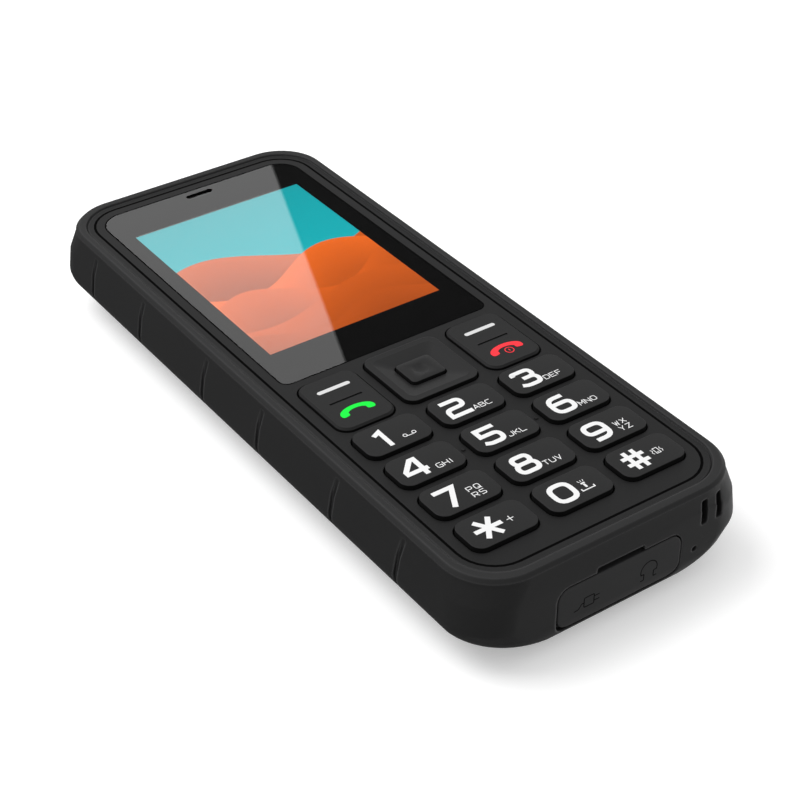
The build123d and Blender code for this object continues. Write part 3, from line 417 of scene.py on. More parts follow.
def screen_finish(colours):
    """Lit screen with a picture of layered waves under a plain sky."""
    sky_lift, edge_sharpness, fade_rate = 1.35, 250.0, 4.0
    # Each wave's level, swell, turns and start, and its shades in the depth and at the crest
    waves = ((0.60, 0.10, 0.75, 0.15, 0.55, 0.9), (0.47, 0.09, 0.9, 0.55, 0.8, 1.25),
             (0.34, 0.08, 1.1, 0.05, 0.65, 1.0), (0.22, 0.06, 0.8, 0.62, 0.55, 0.9),
             (0.10, 0.05, 1.3, 0.30, 0.45, 0.75))
    material, tree, shader = new_material("screen_picture")
    axes = place_axes(tree, "Generated")
    across, up = axes[0], axes[1]
    picture = mix_colours(tree, up, shaded(colours.sky, sky_lift), colours.sky)
    for base, swell, turns, start, dark, light in waves:
        phase = math_node(tree, "MULTIPLY", math_node(tree, "ADD", math_node(
            tree, "MULTIPLY", across, turns), start), 2 * math.pi)
        crest = math_node(tree, "ADD", math_node(
            tree, "MULTIPLY", math_node(tree, "SINE", phase), swell), base)
        depth = math_node(tree, "SUBTRACT", crest, up)
        cover = clamped(tree, math_node(tree, "MULTIPLY", depth, edge_sharpness))
        fade = clamped(tree, math_node(tree, "MULTIPLY", depth, fade_rate))
        layer = mix_colours(tree, fade, shaded(colours.dune, light), shaded(colours.dune, dark))
        picture = mix_colours(tree, cover, picture, layer)
    link(tree, picture, shader.inputs["Emission Color"])
    set_values(shader, {"Emission Strength": 1.15, "Base Color": (0.004, 0.004, 0.004, 1.0),
                        "Specular IOR Level": 0.0})
    return material


# Outlines and skins, in millimetres


def middle_of(low, high):
    """The middle of a box, seen from above."""
    return (low.x + high.x) / 2, (low.y + high.y) / 2


def quad(left, low, right, high):
    """The corners of an upright rectangle, anticlockwise from its lower left."""
    return [(left, low), (right, low), (right, high), (left, high)]


def round_box(left, low, right, high, radius):
    """A closed stroke round an upright rectangle, with round corners."""
    corners = [(x, y, radius) for x, y in quad(left, low, right, high)]
    return corners + corners[:1]


def circle(centre, radius, sides):
    """Points round a circle, anticlockwise from its right."""
    return [(centre[0] + radius * math.cos(2 * math.pi * side / sides),
             centre[1] + radius * math.sin(2 * math.pi * side / sides)) for side in range(sides)]


def rounded_ring(centre, width, length, corner, level, steps=8):
    """Points round a rounded rectangle at a level, anticlockwise from its right side.

    The corner radius is one number, or one for the top corners and one for the bottom ones.
    """
    top, bottom = corner if isinstance(corner, tuple) else (corner, corner)
    points = []
    for turn, (side, end) in enumerate(((1, 1), (-1, 1), (-1, -1), (1, -1))):
        radius = top if end > 0 else bottom
        middle = (centre[0] + side * (width / 2 - radius), centre[1] + end * (length / 2 - radius))
        for step in range(steps + 1):
            angle = math.pi / 2 * (turn + step / steps)
            points.append((middle[0] + radius * math.cos(angle),
                           middle[1] + radius * math.sin(angle), level))
    return points


def round_ring(centre, across, level):
    """Points round a circle at a level, as many as round a rounded rectangle."""
    return rounded_ring(centre, across, across, across / 2, level)


def skin(rings, capped=True):
    """Points and faces of a skin through rings of equal count, from the lowest ring up."""
    count = len(rings[0])
    points = [point for ring in rings for point in ring]
    faces = []
    for row in range(len(rings) - 1):
        for here in range(count):
            there = (here + 1) % count
            low, high = row * count, (row + 1) * count
            faces.append((low + here, low + there, high + there, high + here))
    if capped:
        faces.append(tuple(reversed(range(count))))
        last = (len(rings) - 1) * count
        faces.append(tuple(range(last, last + count)))
    return points, faces


def key_cap_rings(low, high, corner, round_edge, drop):
    """Rings of a key from its plunger up: a flange, and a cap with its top edge rounded."""
    plunger, plunger_length, flange_height, steps = 2.2, 1.2, 0.6, 6
    middle = middle_of(low, high)
    width, length = high.x - low.x, high.y - low.y
    top, under = high.z - drop, low.z + plunger_length
    shoulder = under + flange_height
    rings = [round_ring(middle, plunger, low.z), round_ring(middle, plunger, under),
             rounded_ring(middle, width, length, corner + key_flange, under),
             rounded_ring(middle, width, length, corner + key_flange, shoulder),
             rounded_ring(middle, width - 2 * key_flange, length - 2 * key_flange, corner,
                          shoulder)]
    for step in range(steps + 1):
        angle = math.pi / 2 * step / steps
        inset = key_flange + round_edge * (1 - math.cos(angle))
        level = top - round_edge * (1 - math.sin(angle))
        rings.append(rounded_ring(middle, width - 2 * inset, length - 2 * inset,
                                  corner - inset + key_flange, level))
    return rings


def rounder_form():
    """Points and faces of a closed form with the casing's sides and ends but rounder lower corners.

    It stands a hair outside the sides and ends, and stays clear of all above the waist.
    """
    waist, side_round, belly_round, sweep, edge_round = 9.0, 4.8, 13.776, 12.4, 5.5
    side_drop = 2.55
    corner, corner_gain, corner_bend = 8.2, 2.6, 3.2
    clear, steps, corner_steps = 0.05, 24, 16
    open_width, open_length, open_corner, under, over = 60.0, 140.0, 8.0, -1.0, 20.0
    low, high = box_mm("outer_shell")
    width, length = high.x - low.x, high.y - low.y
    rings = []
    for step in range(steps + 1):
        level = waist * (1 - math.cos(math.pi / 2 * step / steps))
        drop = waist - level
        side = sweep - math.sqrt(belly_round**2 - (belly_round - level) ** 2)
        if drop < side_drop:
            side = side_round - math.sqrt(side_round**2 - drop**2)
        end = edge_round - math.sqrt(edge_round**2 - max(0.0, edge_round - level) ** 2)
        share = drop / waist
        rings.append(rounded_ring((0.0, 0.0), width - 2 * side + 2 * clear,
                                  length - 2 * end + 2 * clear,
                                  corner + corner_gain * share + corner_bend * share**2,
                                  level - clear, corner_steps))
    rings.insert(0, [(x, y, under) for x, y, level in rings[0]])
    for level in (waist, over):
        rings.append(rounded_ring((0.0, 0.0), open_width, open_length, open_corner, level,
                                  corner_steps))
    return skin(rings)


# Meshes and pieces


def box_mm(node):
    """A node's lowest and highest corners in millimetres."""
    low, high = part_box(node)
    return low / MM, high / MM


def new_mesh(name, form):
    """A mesh from points in millimetres and faces."""
    points, faces = form
    mesh = bpy.data.meshes.new(name)
    mesh.from_pydata([Vector(point) * MM for point in points], [], faces)
    return mesh


def add_object(name, data):
    """An object in the scene's own collection."""
    made = bpy.data.objects.new(name, data)
    bpy.context.scene.collection.objects.link(made)
    return made


def dress_mesh(name, mesh, material, body, sharp):
    """A piece from a mesh, smooth but for its sharp edges, on a body."""
    mesh.materials.clear()
    mesh.polygons.foreach_set("use_smooth", [True] * len(mesh.polygons))
    mesh.set_sharp_from_angle(angle=math.radians(sharp))
    mesh.materials.append(material)
    piece = add_object(name, mesh)
    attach(piece, body)
    return piece


def make_piece(name, form, material, body, sharp=35.0):
    """A piece from points in millimetres and faces, on a body."""
    return dress_mesh(name, new_mesh(name, form), material, body, sharp)


def finish_nodes(material, *nodes):
    """Gives CAD nodes a finish."""
    for node in nodes:
        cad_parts[node].material_slots[0].material = material


def cut_to(mesh, form):
    """A mesh cut down to what lies inside a closed form."""
    pieces = [add_object("cut_work", part) for part in (mesh, form)]
    cut = pieces[0].modifiers.new("cut", "BOOLEAN")
    cut.operation, cut.solver, cut.object = "INTERSECT", "EXACT", pieces[1]
    seen = pieces[0].evaluated_get(bpy.context.evaluated_depsgraph_get())
    result = bpy.data.meshes.new_from_object(seen)
    for piece in pieces:
        bpy.data.objects.remove(piece)
    return result


def smooth_copy(node, material, body, sharp=28.0, form=None):
    """A copy of a CAD node with its seams welded, smooth but for its sharp edges, in its place.

    Where a form is given, the copy is cut to it.
    """
    seam_width = 0.002
    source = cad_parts[node].data
    mesh = bpy.data.meshes.new(node + "_skin")
    mesh.from_pydata([vertex.co for vertex in source.vertices], [],
                     [tuple(face.vertices) for face in source.polygons])
    weld = bmesh.new()
    weld.from_mesh(mesh)
    bmesh.ops.remove_doubles(weld, verts=weld.verts, dist=seam_width * MM)
    weld.to_mesh(mesh)
    weld.free()
    if form:
        mesh = cut_to(mesh, form)
    piece = dress_mesh(node + "_skin", mesh, material, body, sharp)
    even = piece.modifiers.new("even_normals", "WEIGHTED_NORMAL")
    even.keep_sharp = True
    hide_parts(node)
    return piece


def sharpen_corners(mesh, middle, width, length, old, new):
    """Gives an opening's corners, round by one radius, another radius."""
    side_slack, arc_slack = 0.02, 0.03
    for vertex in mesh.vertices:
        x, y = vertex.co.x / MM - middle[0], vertex.co.y / MM - middle[1]
        out = Vector((abs(x) - width / 2 + old, abs(y) - length / 2 + old))
        if min(out) > -side_slack and abs(out.length - old) < arc_slack:
            out *= new / old
            vertex.co.x = (middle[0] + math.copysign(width / 2 - new + out.x, x)) * MM
            vertex.co.y = (middle[1] + math.copysign(length / 2 - new + out.y, y)) * MM


def spread_rim(mesh, half_width, half_length, corner, reach):
    """Moves the points on a rounded rectangle's rim outwards."""
    rim_slack = 0.05
    for vertex in mesh.vertices:
        place = vertex.co / MM
        across, along = abs(place.x) - half_width + corner, abs(place.y) - half_length + corner
        out = Vector((math.copysign(max(across, 0.0), place.x),
                      math.copysign(max(along, 0.0), place.y), 0.0))
        if abs(out.length - corner) < rim_slack:
            vertex.co += out.normalized() * reach * MM


def trim_end_holes(mesh):
    """Shortens the lanyard eye's slots, shifts the left one and widens the microphone's hole."""
    end_face = -65.7
    slots_left, slots_right, slots_foot, slots_head = 17.1, 21.4, 10.2, 16.5
    slots_level, slots_parting = 13.35, 19.0
    foot_rise, head_drop, left_shift = 1.05, 0.3, 0.5
    hole_x, hole_level, hole_reach = 15.4, 7.0, 1.0
    seen_x, seen_level, wider = 15.0, 7.15, 1.4
    for vertex in mesh.vertices:
        x, y, level = vertex.co / MM
        if y > end_face:
            continue
        if slots_left < x < slots_right and slots_foot < level < slots_head:
            rise = foot_rise if level < slots_level else -head_drop
            vertex.co.z += rise * MM
            vertex.co.y += end_lean * rise * MM
            vertex.co.x -= (left_shift if x < slots_parting else 0.0) * MM
        elif (x - hole_x) ** 2 + (level - hole_level) ** 2 < hole_reach**2:
            vertex.co.x = (seen_x + wider * (x - hole_x)) * MM
            vertex.co.z = (seen_level + wider * (level - hole_level)) * MM


# Flat art


def soften(points, closed, steps=5):
    """A line through points (x, y) or (x, y, radius), each corner turned into an arc."""
    least = 0.001
    out = []
    count = len(points)
    for index, (x, y, *given) in enumerate(points):
        here = Vector((x, y))
        radius = given[0] if given else 0.0
        open_end = not closed and index in (0, count - 1)
        if radius <= 0 or open_end:
            out.append(here)
            continue
        before = Vector(points[index - 1][:2]) - here
        after = Vector(points[(index + 1) % count][:2]) - here
        reach = min(radius, before.length / 2, after.length / 2)
        start = here + before.normalized() * reach
        stop = here + after.normalized() * reach
        for step in range(steps + 1):
            share = step / steps
            out.append(start.lerp(here, share).lerp(here.lerp(stop, share), share))
    kept = []
    for point in out:
        if not kept or (point - kept[-1]).length > least:
            kept.append(point)
    if closed and (kept[0] - kept[-1]).length <= least:
        kept.pop()
    return kept


def ribbon(line, width, closed):
    """Left and right edges of a flat ribbon along a line, mitred at its corners."""
    mitre_limit = 0.3
    lefts, rights = [], []
    count = len(line)
    for index, here in enumerate(line):
        first = closed or index > 0
        last = closed or index < count - 1
        before = (here - line[index - 1]).normalized() if first else None
        after = (line[(index + 1) % count] - here).normalized() if last else None
        before = before or after
        after = after or before
        along = (before + after).normalized()
        reach = width / 2 / max(mitre_limit, along.dot(before))
        normal = Vector((-along.y, along.x)) * reach
        lefts.append(here + normal)
        rights.append(here - normal)
    return lefts, rights


class FlatArt:
    """Flat printed strokes and shapes, gathered into one thin mesh, each a step below the last."""

    def __init__(self, level, thickness, step=0.0015):
        self.points = []
        self.faces = []
        self.level = level
        self.thickness = thickness
        self.step = step

    def form(self):
        """The points and faces drawn so far."""
        return self.points, self.faces

    def slab(self, corners):
        """A thin slab over an outline, with walls all round."""
        start = len(self.points)
        count = len(corners)
        for level in (self.level, self.level - self.thickness):
            self.points += [(x, y, level) for x, y in corners]
        self.faces.append(tuple(range(start, start + count)))
        for here in range(count):
            there = (here + 1) % count
            self.faces.append((start + here, start + count + here,
                               start + count + there, start + there))
        self.level -= self.step

    def stroke(self, points, width):
        """A stroke along points (x, y) or (x, y, corner radius), closed if it ends as it starts."""
        closed = points[0] == points[-1]
        line = soften(points[:-1] if closed else points, closed)
        lefts, rights = ribbon(line, width, closed)
        count = len(line)
        start = len(self.points)
        for level in (self.level, self.level - self.thickness):
            for edge in (lefts, rights):
                self.points += [(point.x, point.y, level) for point in edge]
        left, right, low_left, low_right = (start + row * count for row in range(4))
        for here in range(count if closed else count - 1):
            there = (here + 1) % count
            self.faces.append((right + here, right + there, left + there, left + here))
            self.faces.append((left + here, left + there, low_left + there, low_left + here))
            self.faces.append((right + there, right + here, low_right + here, low_right + there))
        self.level -= self.step

    def disc(self, centre, radius, sides=20):
        """A filled disc."""
        self.slab(circle(centre, radius, sides))

    def ring(self, centre, radius, width, sides=24):
        """A circle drawn as a stroke."""
        points = circle(centre, radius, sides)
        self.stroke(points + points[:1], width)


# Key legends, drawn as strokes in a unit box: points (x, y) or (x, y, corner radius)

digit_shapes = {
    "0": [round_box(0, 0, 1, 1, 0.42)],
    "1": [[(0.20, 0.78), (0.58, 0.95), (0.58, -0.11)]],
    "2": [[(-0.03, 1), (1, 1, 0.34), (1, 0.52, 0.30), (0, 0.50, 0.34), (0, 0), (1.1, 0)]],
    "3": [[(0, 0.82), (0, 1, 0.3), (0.96, 1, 0.34), (0.96, 0.52, 0.28), (0.30, 0.52)],
          [(0.30, 0.52), (1, 0.52, 0.30), (1, 0, 0.34), (0.24, 0, 0.3), (-0.04, 0.12)]],
    "4": [[(0.80, -0.11), (0.80, 1), (0.60, 1), (0, 0.42), (0, 0.25), (0.5, 0.25)],
          [(0.45, 0.25), (1.06, 0.25)]],
    "5": [[(1.05, 1), (0.06, 1), (0.06, 0.56), (1, 0.56, 0.34), (1, 0, 0.34), (0.24, 0, 0.3),
           (-0.04, 0.12)]],
    "6": [[(0.92, 1), (0, 1, 0.46), (0, 0, 0.40), (1, 0, 0.34), (1, 0.58, 0.34), (0.45, 0.58)],
          [(0.5, 0.58), (0.05, 0.58)]],
    "7": [[(0, 1), (1, 1), (0.36, -0.11)]],
    "8": [round_box(0, 0, 1, 0.53, 0.32), round_box(0.08, 0.53, 0.92, 1, 0.30)],
    "9": [[(0.08, 0), (1, 0, 0.46), (1, 1, 0.40), (0, 1, 0.34), (0, 0.42, 0.34), (0.55, 0.42)],
          [(0.5, 0.42), (0.95, 0.42)]],
    "*": [[(-0.2, 0.5), (1.2, 0.5)], [(0.11, 1.04), (0.89, -0.04)], [(0.11, -0.04), (0.89, 1.04)]],
    "#": [[(0.27, 1.1), (0.27, -0.1)], [(0.73, 1.1), (0.73, -0.1)],
          [(-0.1, 0.72), (1.1, 0.72)], [(-0.1, 0.28), (1.1, 0.28)]],
}
sign_stroke_shares = {"#": 0.9, "*": 0.96, "1": 0.92}
usual_digit_shift = -2.2
digit_shifts = {"1": -1.8, "*": -1.6, "0": -1.95, "#": -2.0}
letter_shapes = {
    "A": [[(0, 0), (0.5, 1), (1, 0)], [(0.18, 0.3), (0.82, 0.3)]],
    "B": [[(0, 0), (0, 1), (0.9, 1, 0.3), (0.9, 0.53, 0.25), (0, 0.53)],
          [(0.5, 0.53), (1, 0.53, 0.25), (1, 0, 0.3), (0, 0)]],
    "C": [[(1, 1), (0, 1, 0.35), (0, 0, 0.35), (1, 0)]],
    "D": [[(0, 0), (1, 0, 0.4), (1, 1, 0.4), (0, 1), (0, 0)]],
    "E": [[(1, 1), (0, 1), (0, 0), (1, 0)], [(0, 0.5), (0.85, 0.5)]],
    "F": [[(1, 1), (0, 1), (0, 0)], [(0, 0.5), (0.85, 0.5)]],
    "G": [[(1, 1), (0, 1, 0.35), (0, 0, 0.35), (1, 0), (1, 0.48), (0.5, 0.48)]],
    "H": [[(0, 0), (0, 1)], [(1, 0), (1, 1)], [(0, 0.5), (1, 0.5)]],
    "I": [[(0.5, 0), (0.5, 1)]],
    "J": [[(1, 1), (1, 0, 0.4), (0.1, 0, 0.3), (0.1, 0.3)]],
    "K": [[(0, 0), (0, 1)], [(1, 1), (0.05, 0.45)], [(0.3, 0.58), (1, 0)]],
    "L": [[(0, 1), (0, 0), (1, 0)]],
    "M": [[(0, 0), (0, 1), (0.5, 0.4), (1, 1), (1, 0)]],
    "N": [[(0, 0), (0, 1), (1, 0), (1, 1)]],
    "O": [round_box(0, 0, 1, 1, 0.4)],
    "P": [[(0, 0), (0, 1), (1, 1, 0.35), (1, 0.42, 0.35), (0, 0.42)]],
    "Q": [round_box(0, 0, 1, 1, 0.4), [(0.55, 0.35), (1.1, -0.1)]],
    "R": [[(0, 0), (0, 1), (1, 1, 0.35), (1, 0.42, 0.35), (0, 0.42)], [(0.5, 0.42), (1, 0)]],
    "S": [[(1, 1), (0, 1, 0.3), (0, 0.5, 0.3), (1, 0.5, 0.3), (1, 0, 0.3), (0, 0)]],
    "T": [[(0, 1), (1, 1)], [(0.5, 1), (0.5, 0)]],
    "U": [[(0, 1), (0, 0, 0.4), (1, 0, 0.4), (1, 1)]],
    "V": [[(0, 1), (0.5, 0), (1, 1)]],
    "W": [[(0, 1), (0.25, 0), (0.5, 0.7), (0.75, 0), (1, 1)]],
    "X": [[(0, 0), (1, 1)], [(0, 1), (1, 0)]],
    "Y": [[(0, 1), (0.5, 0.45), (1, 1)], [(0.5, 0.45), (0.5, 0)]],
    "Z": [[(0, 1), (1, 1), (0, 0), (1, 0)]],
}
key_legends = {
    "key_1": ("1", []), "key_2": ("2", ["ABC"]), "key_3": ("3", ["DEF"]),
    "key_4": ("4", ["GHI"]), "key_5": ("5", ["JKL"]), "key_6": ("6", ["MNO"]),
    "key_7": ("7", ["PQ", "RS"]), "key_8": ("8", ["TUV"]), "key_9": ("9", ["WX", "YZ"]),
    "key_star": ("*", []), "key_0": ("0", []), "key_hash": ("#", []),
}


def draw_shape(art, shape, corner, width, height, stroke):
    """Draws the strokes of a unit-box shape with its lower left corner at a place."""
    size = min(width, height)
    for points in shape:
        art.stroke([(corner[0] + x * width, corner[1] + y * height,
                     *(turn * size for turn in radius)) for x, y, *radius in points], stroke)


def draw_digit(art, digit, middle, sizes):
    """A key's large digit or sign, left of the key's middle."""
    height, width = sizes.digit_height / MM, sizes.digit_width / MM
    stroke = sizes.digit_stroke / MM
    shift = digit_shifts.get(digit, usual_digit_shift)
    corner = (middle[0] + shift - width / 2 + stroke / 2, middle[1] - height / 2 + stroke / 2)
    draw_shape(art, digit_shapes[digit], corner, width - stroke, height - stroke,
               stroke * sign_stroke_shares.get(digit, 1.0))


def draw_letters(art, rows, middle, sizes):
    """A key's letters, in one or two rows beside its digit."""
    foot, row_space, side_space, narrow_share = -2.35, 0.35, 0.16, 0.45
    space, left = (0.03, 0.26) if len(rows) == 1 else (0.16, 1.2)
    height, thin = sizes.letter_height / MM, sizes.letter_stroke / MM
    pitch = height + space
    for row, letters in enumerate(reversed(rows)):
        start = middle[0] + left + (1 - narrow_share) * pitch * letters.count("I")
        for name in letters:
            share = narrow_share if name == "I" else 1.0
            corner = (start + thin / 2,
                      middle[1] + foot + row * (height + row_space) + thin / 2)
            draw_shape(art, letter_shapes[name], corner, share * (height - thin - side_space),
                       height - thin, thin)
            start += share * pitch


def draw_side_mark(art, node, middle):
    """Small mark beside a digit that has no letters: messages, plus, torch and space, buzzer."""
    x, y = middle

    def line(width, *points):
        """A stroke through points given from the key's middle."""
        art.stroke([(x + across, y + up) for across, up in points], width)

    if node == "key_1":
        for side in (-1, 1):
            art.ring((x + 2.5 + side * 0.88, y - 1.4), 0.34, 0.15)
        line(0.14, (1.62, -1.74), (3.38, -1.74))
    elif node == "key_star":
        line(0.15, (1.85, -0.15), (3.15, -0.15))
        line(0.15, (2.5, -0.8), (2.5, 0.5))
    elif node == "key_0":
        line(0.22, (0.95, -1.0), (0.95, -1.5), (3.35, -1.5), (3.35, -1.0))
        art.slab(quad(x + 1.95, y - 1.0, x + 2.35, y - 0.1))
        art.slab(quad(x + 1.75, y - 0.02, x + 2.55, y + 0.3))
        for lean in (-0.35, 0.0, 0.35):
            line(0.12, (2.15 + lean, 0.5), (2.15 + 1.6 * lean, 0.95))
    elif node == "key_hash":
        line(0.14, *quad(1.9, -0.85, 2.7, 0.5), (1.9, -0.85))
        line(0.12, (2.1, -0.55), (2.5, -0.55))
        for side in (-1, 1):
            line(0.12, *((2.3 + side * out, up) for out, up in (
                (0.85, -0.8), (1.05, -0.4), (0.75, 0.0), (0.95, 0.4))))


def draw_handset(art, middle, share):
    """A handset lying over its hook: an arched grip with an ear piece and a mouth piece."""
    reach, rise, sink, steps = 3.55, 1.8, 0.55, 12
    half = []
    for step in range(steps + 1):
        angle = math.pi / 2 * step / steps
        half.append((reach * math.sin(angle), rise * math.cos(angle) - sink))
    half += [(3.52, -0.95), (3.35, -1.22), (3.0, -1.32), (2.2, -1.2), (1.92, -1.0), (1.85, -0.3),
             (1.3, 0.05), (0.65, 0.22)]
    outline = half + [(0, 0.26)] + [(-x, y) for x, y in reversed(half[1:])]
    art.slab([(middle[0] + share * x, middle[1] + share * y) for x, y in reversed(outline)])


def draw_plug(art, middle, width):
    """A plug on a cord: a cord, a block and two prongs, in thin lines."""
    x, z = middle
    art.stroke([(x - 2.9, z - 0.9), (x - 2.0, z - 0.9, 0.5), (x - 1.4, z, 0.5), (x - 0.9, z)],
               width)
    art.stroke([(x - 0.9, z - 0.95, 0.3), (x + 1.1, z - 0.95, 0.2), (x + 1.1, z + 0.95, 0.2),
                (x - 0.9, z + 0.95, 0.3), (x - 0.9, z - 0.95, 0.3)], width)
    for side in (-1, 1):
        art.stroke([(x + 1.1, z + side * 0.45), (x + 2.2, z + side * 0.45)], width)


def draw_headphones(art, middle, width):
    """Headphones: a bow and two ear pads, in thin lines."""
    radius, rise, start, sweep, steps = 1.7, 0.2, 1.12, 1.24, 24
    pad_in, pad_head, pad_foot, pad_corner = 1.0, -0.35, -1.55, 0.2
    x, z = middle
    bow = []
    for step in range(steps + 1):
        angle = math.pi * (start - sweep * step / steps)
        bow.append((x + radius * math.cos(angle), z + rise + radius * math.sin(angle)))
    art.stroke(bow, width)
    for side in (-1, 1):
        outer, inner = x + side * radius, x + side * pad_in
        art.stroke([(outer, z + pad_head), (inner, z + pad_head, pad_corner),
                    (inner, z + pad_foot, pad_corner), (outer, z + pad_foot)], width)


# Operators, one for each piece or group of like pieces


class PHONE_OT_casing(bpy.types.Operator):
    """Makes the casing's skins: sides, front panel, upper back and battery cover"""

    bl_idname = "phone.casing"
    bl_label = "Casing"

    def execute(self, context):
        colours, sizes = context.scene.phone_colours, context.scene.phone_sizes
        # Painted highlights: the casing's edges and its crest are lighter
        casing = moulded_finish("soft_touch_casing", colours.casing, 0.55, grain=6000.0,
                                edge=sizes.edge_round * 1.5, painted_edge_light=4.5, crest=(17.9, 18.4))
        # Painted shade: the panel's edges, at its seam and its openings, are darker
        panel = moulded_finish("panel_plastic", colours.panel, 0.5, grain=7000.0,
                               edge=sizes.edge_round / 2, painted_edge_light=0.3, specular=0.145)
        form = new_mesh("rounder_form", rounder_form())
        piece = smooth_copy("outer_shell", casing, "phone_body", form=form)
        trim_end_holes(piece.data)
        smooth_copy("rear_housing", casing, "phone_body", form=form)
        smooth_copy("battery_cover", casing, "phone_body", form=form)
        bpy.data.meshes.remove(form)

        rim_reach, nav_corner, nav_seen_corner = 0.2, 3.5, 2.4
        piece = smooth_copy("front_panel", panel, "phone_body")
        spread_rim(piece.data, panel_width / 2, panel_length / 2, panel_corner, rim_reach)
        low, high = box_mm("nav_ring")
        step = 2 * (key_flange - key_gap)
        sharpen_corners(piece.data, middle_of(low, high), high.x - low.x - step,
                        high.y - low.y - step, nav_corner, nav_seen_corner)

        # A black ring over the seam round the panel: painted shade that widens the dark gap
        seam_out, seam_in, seam_rise = 0.63, 0.15, 0.003
        level = box_mm("display_lens")[1].z + seam_rise
        line = [rounded_ring((0.0, 0.0), panel_width + 2 * grow, panel_length + 2 * grow,
                             panel_corner + grow, level) for grow in (seam_out, seam_in)]
        seam = ink_finish("seam_painted_shade", (0.003, 0.003, 0.003), 0.0)
        make_piece("panel_seam_shade", skin(line, False), seam, "phone_body")
        rubber = moulded_finish("seal_rubber", (0.012, 0.012, 0.012), 0.7)
        finish_nodes(rubber, "cover_seal", "lens_seal")
        steel = moulded_finish("screw_steel", (0.10, 0.10, 0.105), 0.35, metallic=1.0)
        finish_nodes(steel, "cover_screws", "board_screws")
        return {"FINISHED"}


class PHONE_OT_display(bpy.types.Operator):
    """Makes the glass, its black print, the lit screen and the earpiece mesh"""

    bl_idname = "phone.display"
    bl_label = "Display"

    def execute(self, context):
        colours = context.scene.phone_colours
        finish_nodes(glass_finish("lens_glass", (0.96, 0.98, 0.98), 0.01, 1.74), "display_lens")
        low, high = box_mm("display_lens")
        print_black = ink_finish("black_print", (0.004, 0.004, 0.0041), 0.0)
        earpiece = (0.0, high.y - earpiece_drop)

        # The print lies inside the glass: one ring round the earpiece, one round the screen
        inside, inset, head_depth, square = 0.02, 0.05, 6.0, 0.05
        slot_width, slot_height = 5.9, 1.1
        level, width, split = low.z + inside, high.x - low.x - 2 * inset, high.y - head_depth
        head_corner, foot_corner = (corner - inset for corner in lens_corners)
        head = (rounded_ring((0.0, (high.y + split) / 2), width, high.y - split,
                             (head_corner, square), level),
                rounded_ring(earpiece, slot_width, slot_height, slot_height / 2, level))
        sides = (rounded_ring((0.0, (low.y + split) / 2), width, split - low.y,
                              (square, foot_corner), level),
                 rounded_ring(screen_middle, screen_width, screen_height, square, level))

        # A black line over the lens's edge, painted shade of the gap round the glass, and a sleeve
        # down the earpiece's slot
        gap_shade_out, gap_shade_in, gap_shade_rise, sleeve_rise, sleeve_drop = 0.14, -0.12, 0.006, 0.004, 0.1
        line = [rounded_ring((0.0, (low.y + high.y) / 2), high.x - low.x + 2 * grow,
                             high.y - low.y + 2 * grow,
                             tuple(corner + grow for corner in lens_corners), high.z + gap_shade_rise)
                for grow in (gap_shade_out, gap_shade_in)]
        sleeve = [rounded_ring(earpiece, wide, tall, tall / 2, rise)
                  for wide, tall, rise in ((5.95, 1.2, high.z + sleeve_rise),
                                           (5.64, 0.84, high.z + sleeve_rise),
                                           (5.64, 0.84, low.z - sleeve_drop))]
        for name, rings in (("lens_print_head", head), ("lens_print_sides", sides),
                            ("lens_gap_shade", line), ("earpiece_sleeve", sleeve)):
            make_piece(name, skin(rings, False), print_black, "phone_body")

        half_width, half_height, picture_drop = 18.5, 24.6, 0.3
        x, y = screen_middle
        corners = [(*corner, low.z - picture_drop) for corner in quad(
            x - half_width, y - half_height, x + half_width, y + half_height)]
        make_piece("screen_picture", (corners, [(0, 1, 2, 3)]), screen_finish(colours),
                   "phone_body")
        dark = moulded_finish("display_frame", (0.01, 0.01, 0.01), 0.4)
        finish_nodes(dark, "display_module", "display_bracket")
        finish_nodes(mesh_finish("dust_mesh", (0.05, 0.05, 0.05), 0.3), "earpiece_mesh")
        finish_nodes(moulded_finish("capsule", (0.02, 0.02, 0.02), 0.5), "earpiece")
        return {"FINISHED"}


class PHONE_OT_number_keys(bpy.types.Operator):
    """Makes the twelve number key caps and prints their legends"""

    bl_idname = "phone.number_keys"
    bl_label = "Number keys"

    def execute(self, context):
        colours, sizes = context.scene.phone_colours, context.scene.phone_sizes
        cap = key_finish("key_plastic", 0.48)
        ink = ink_finish("white_legend", colours.legend)
        corner, top_round, top_drop, ink_drop = 2.0, 0.12, 0.02, 0.002
        for node, (digit, rows) in key_legends.items():
            low, high = box_mm(node)
            rings = key_cap_rings(low, high, corner, top_round, top_drop)
            piece = make_piece(node + "_cap", skin(rings), cap, node)
            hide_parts(node)
            middle = middle_of(low, high)
            art = FlatArt(high.z - ink_drop, ink_depth)
            draw_digit(art, digit, middle, sizes)
            draw_letters(art, rows, middle, sizes)
            draw_side_mark(art, node, middle)
            make_piece(node + "_legend", art.form(), ink, node)
        return {"FINISHED"}


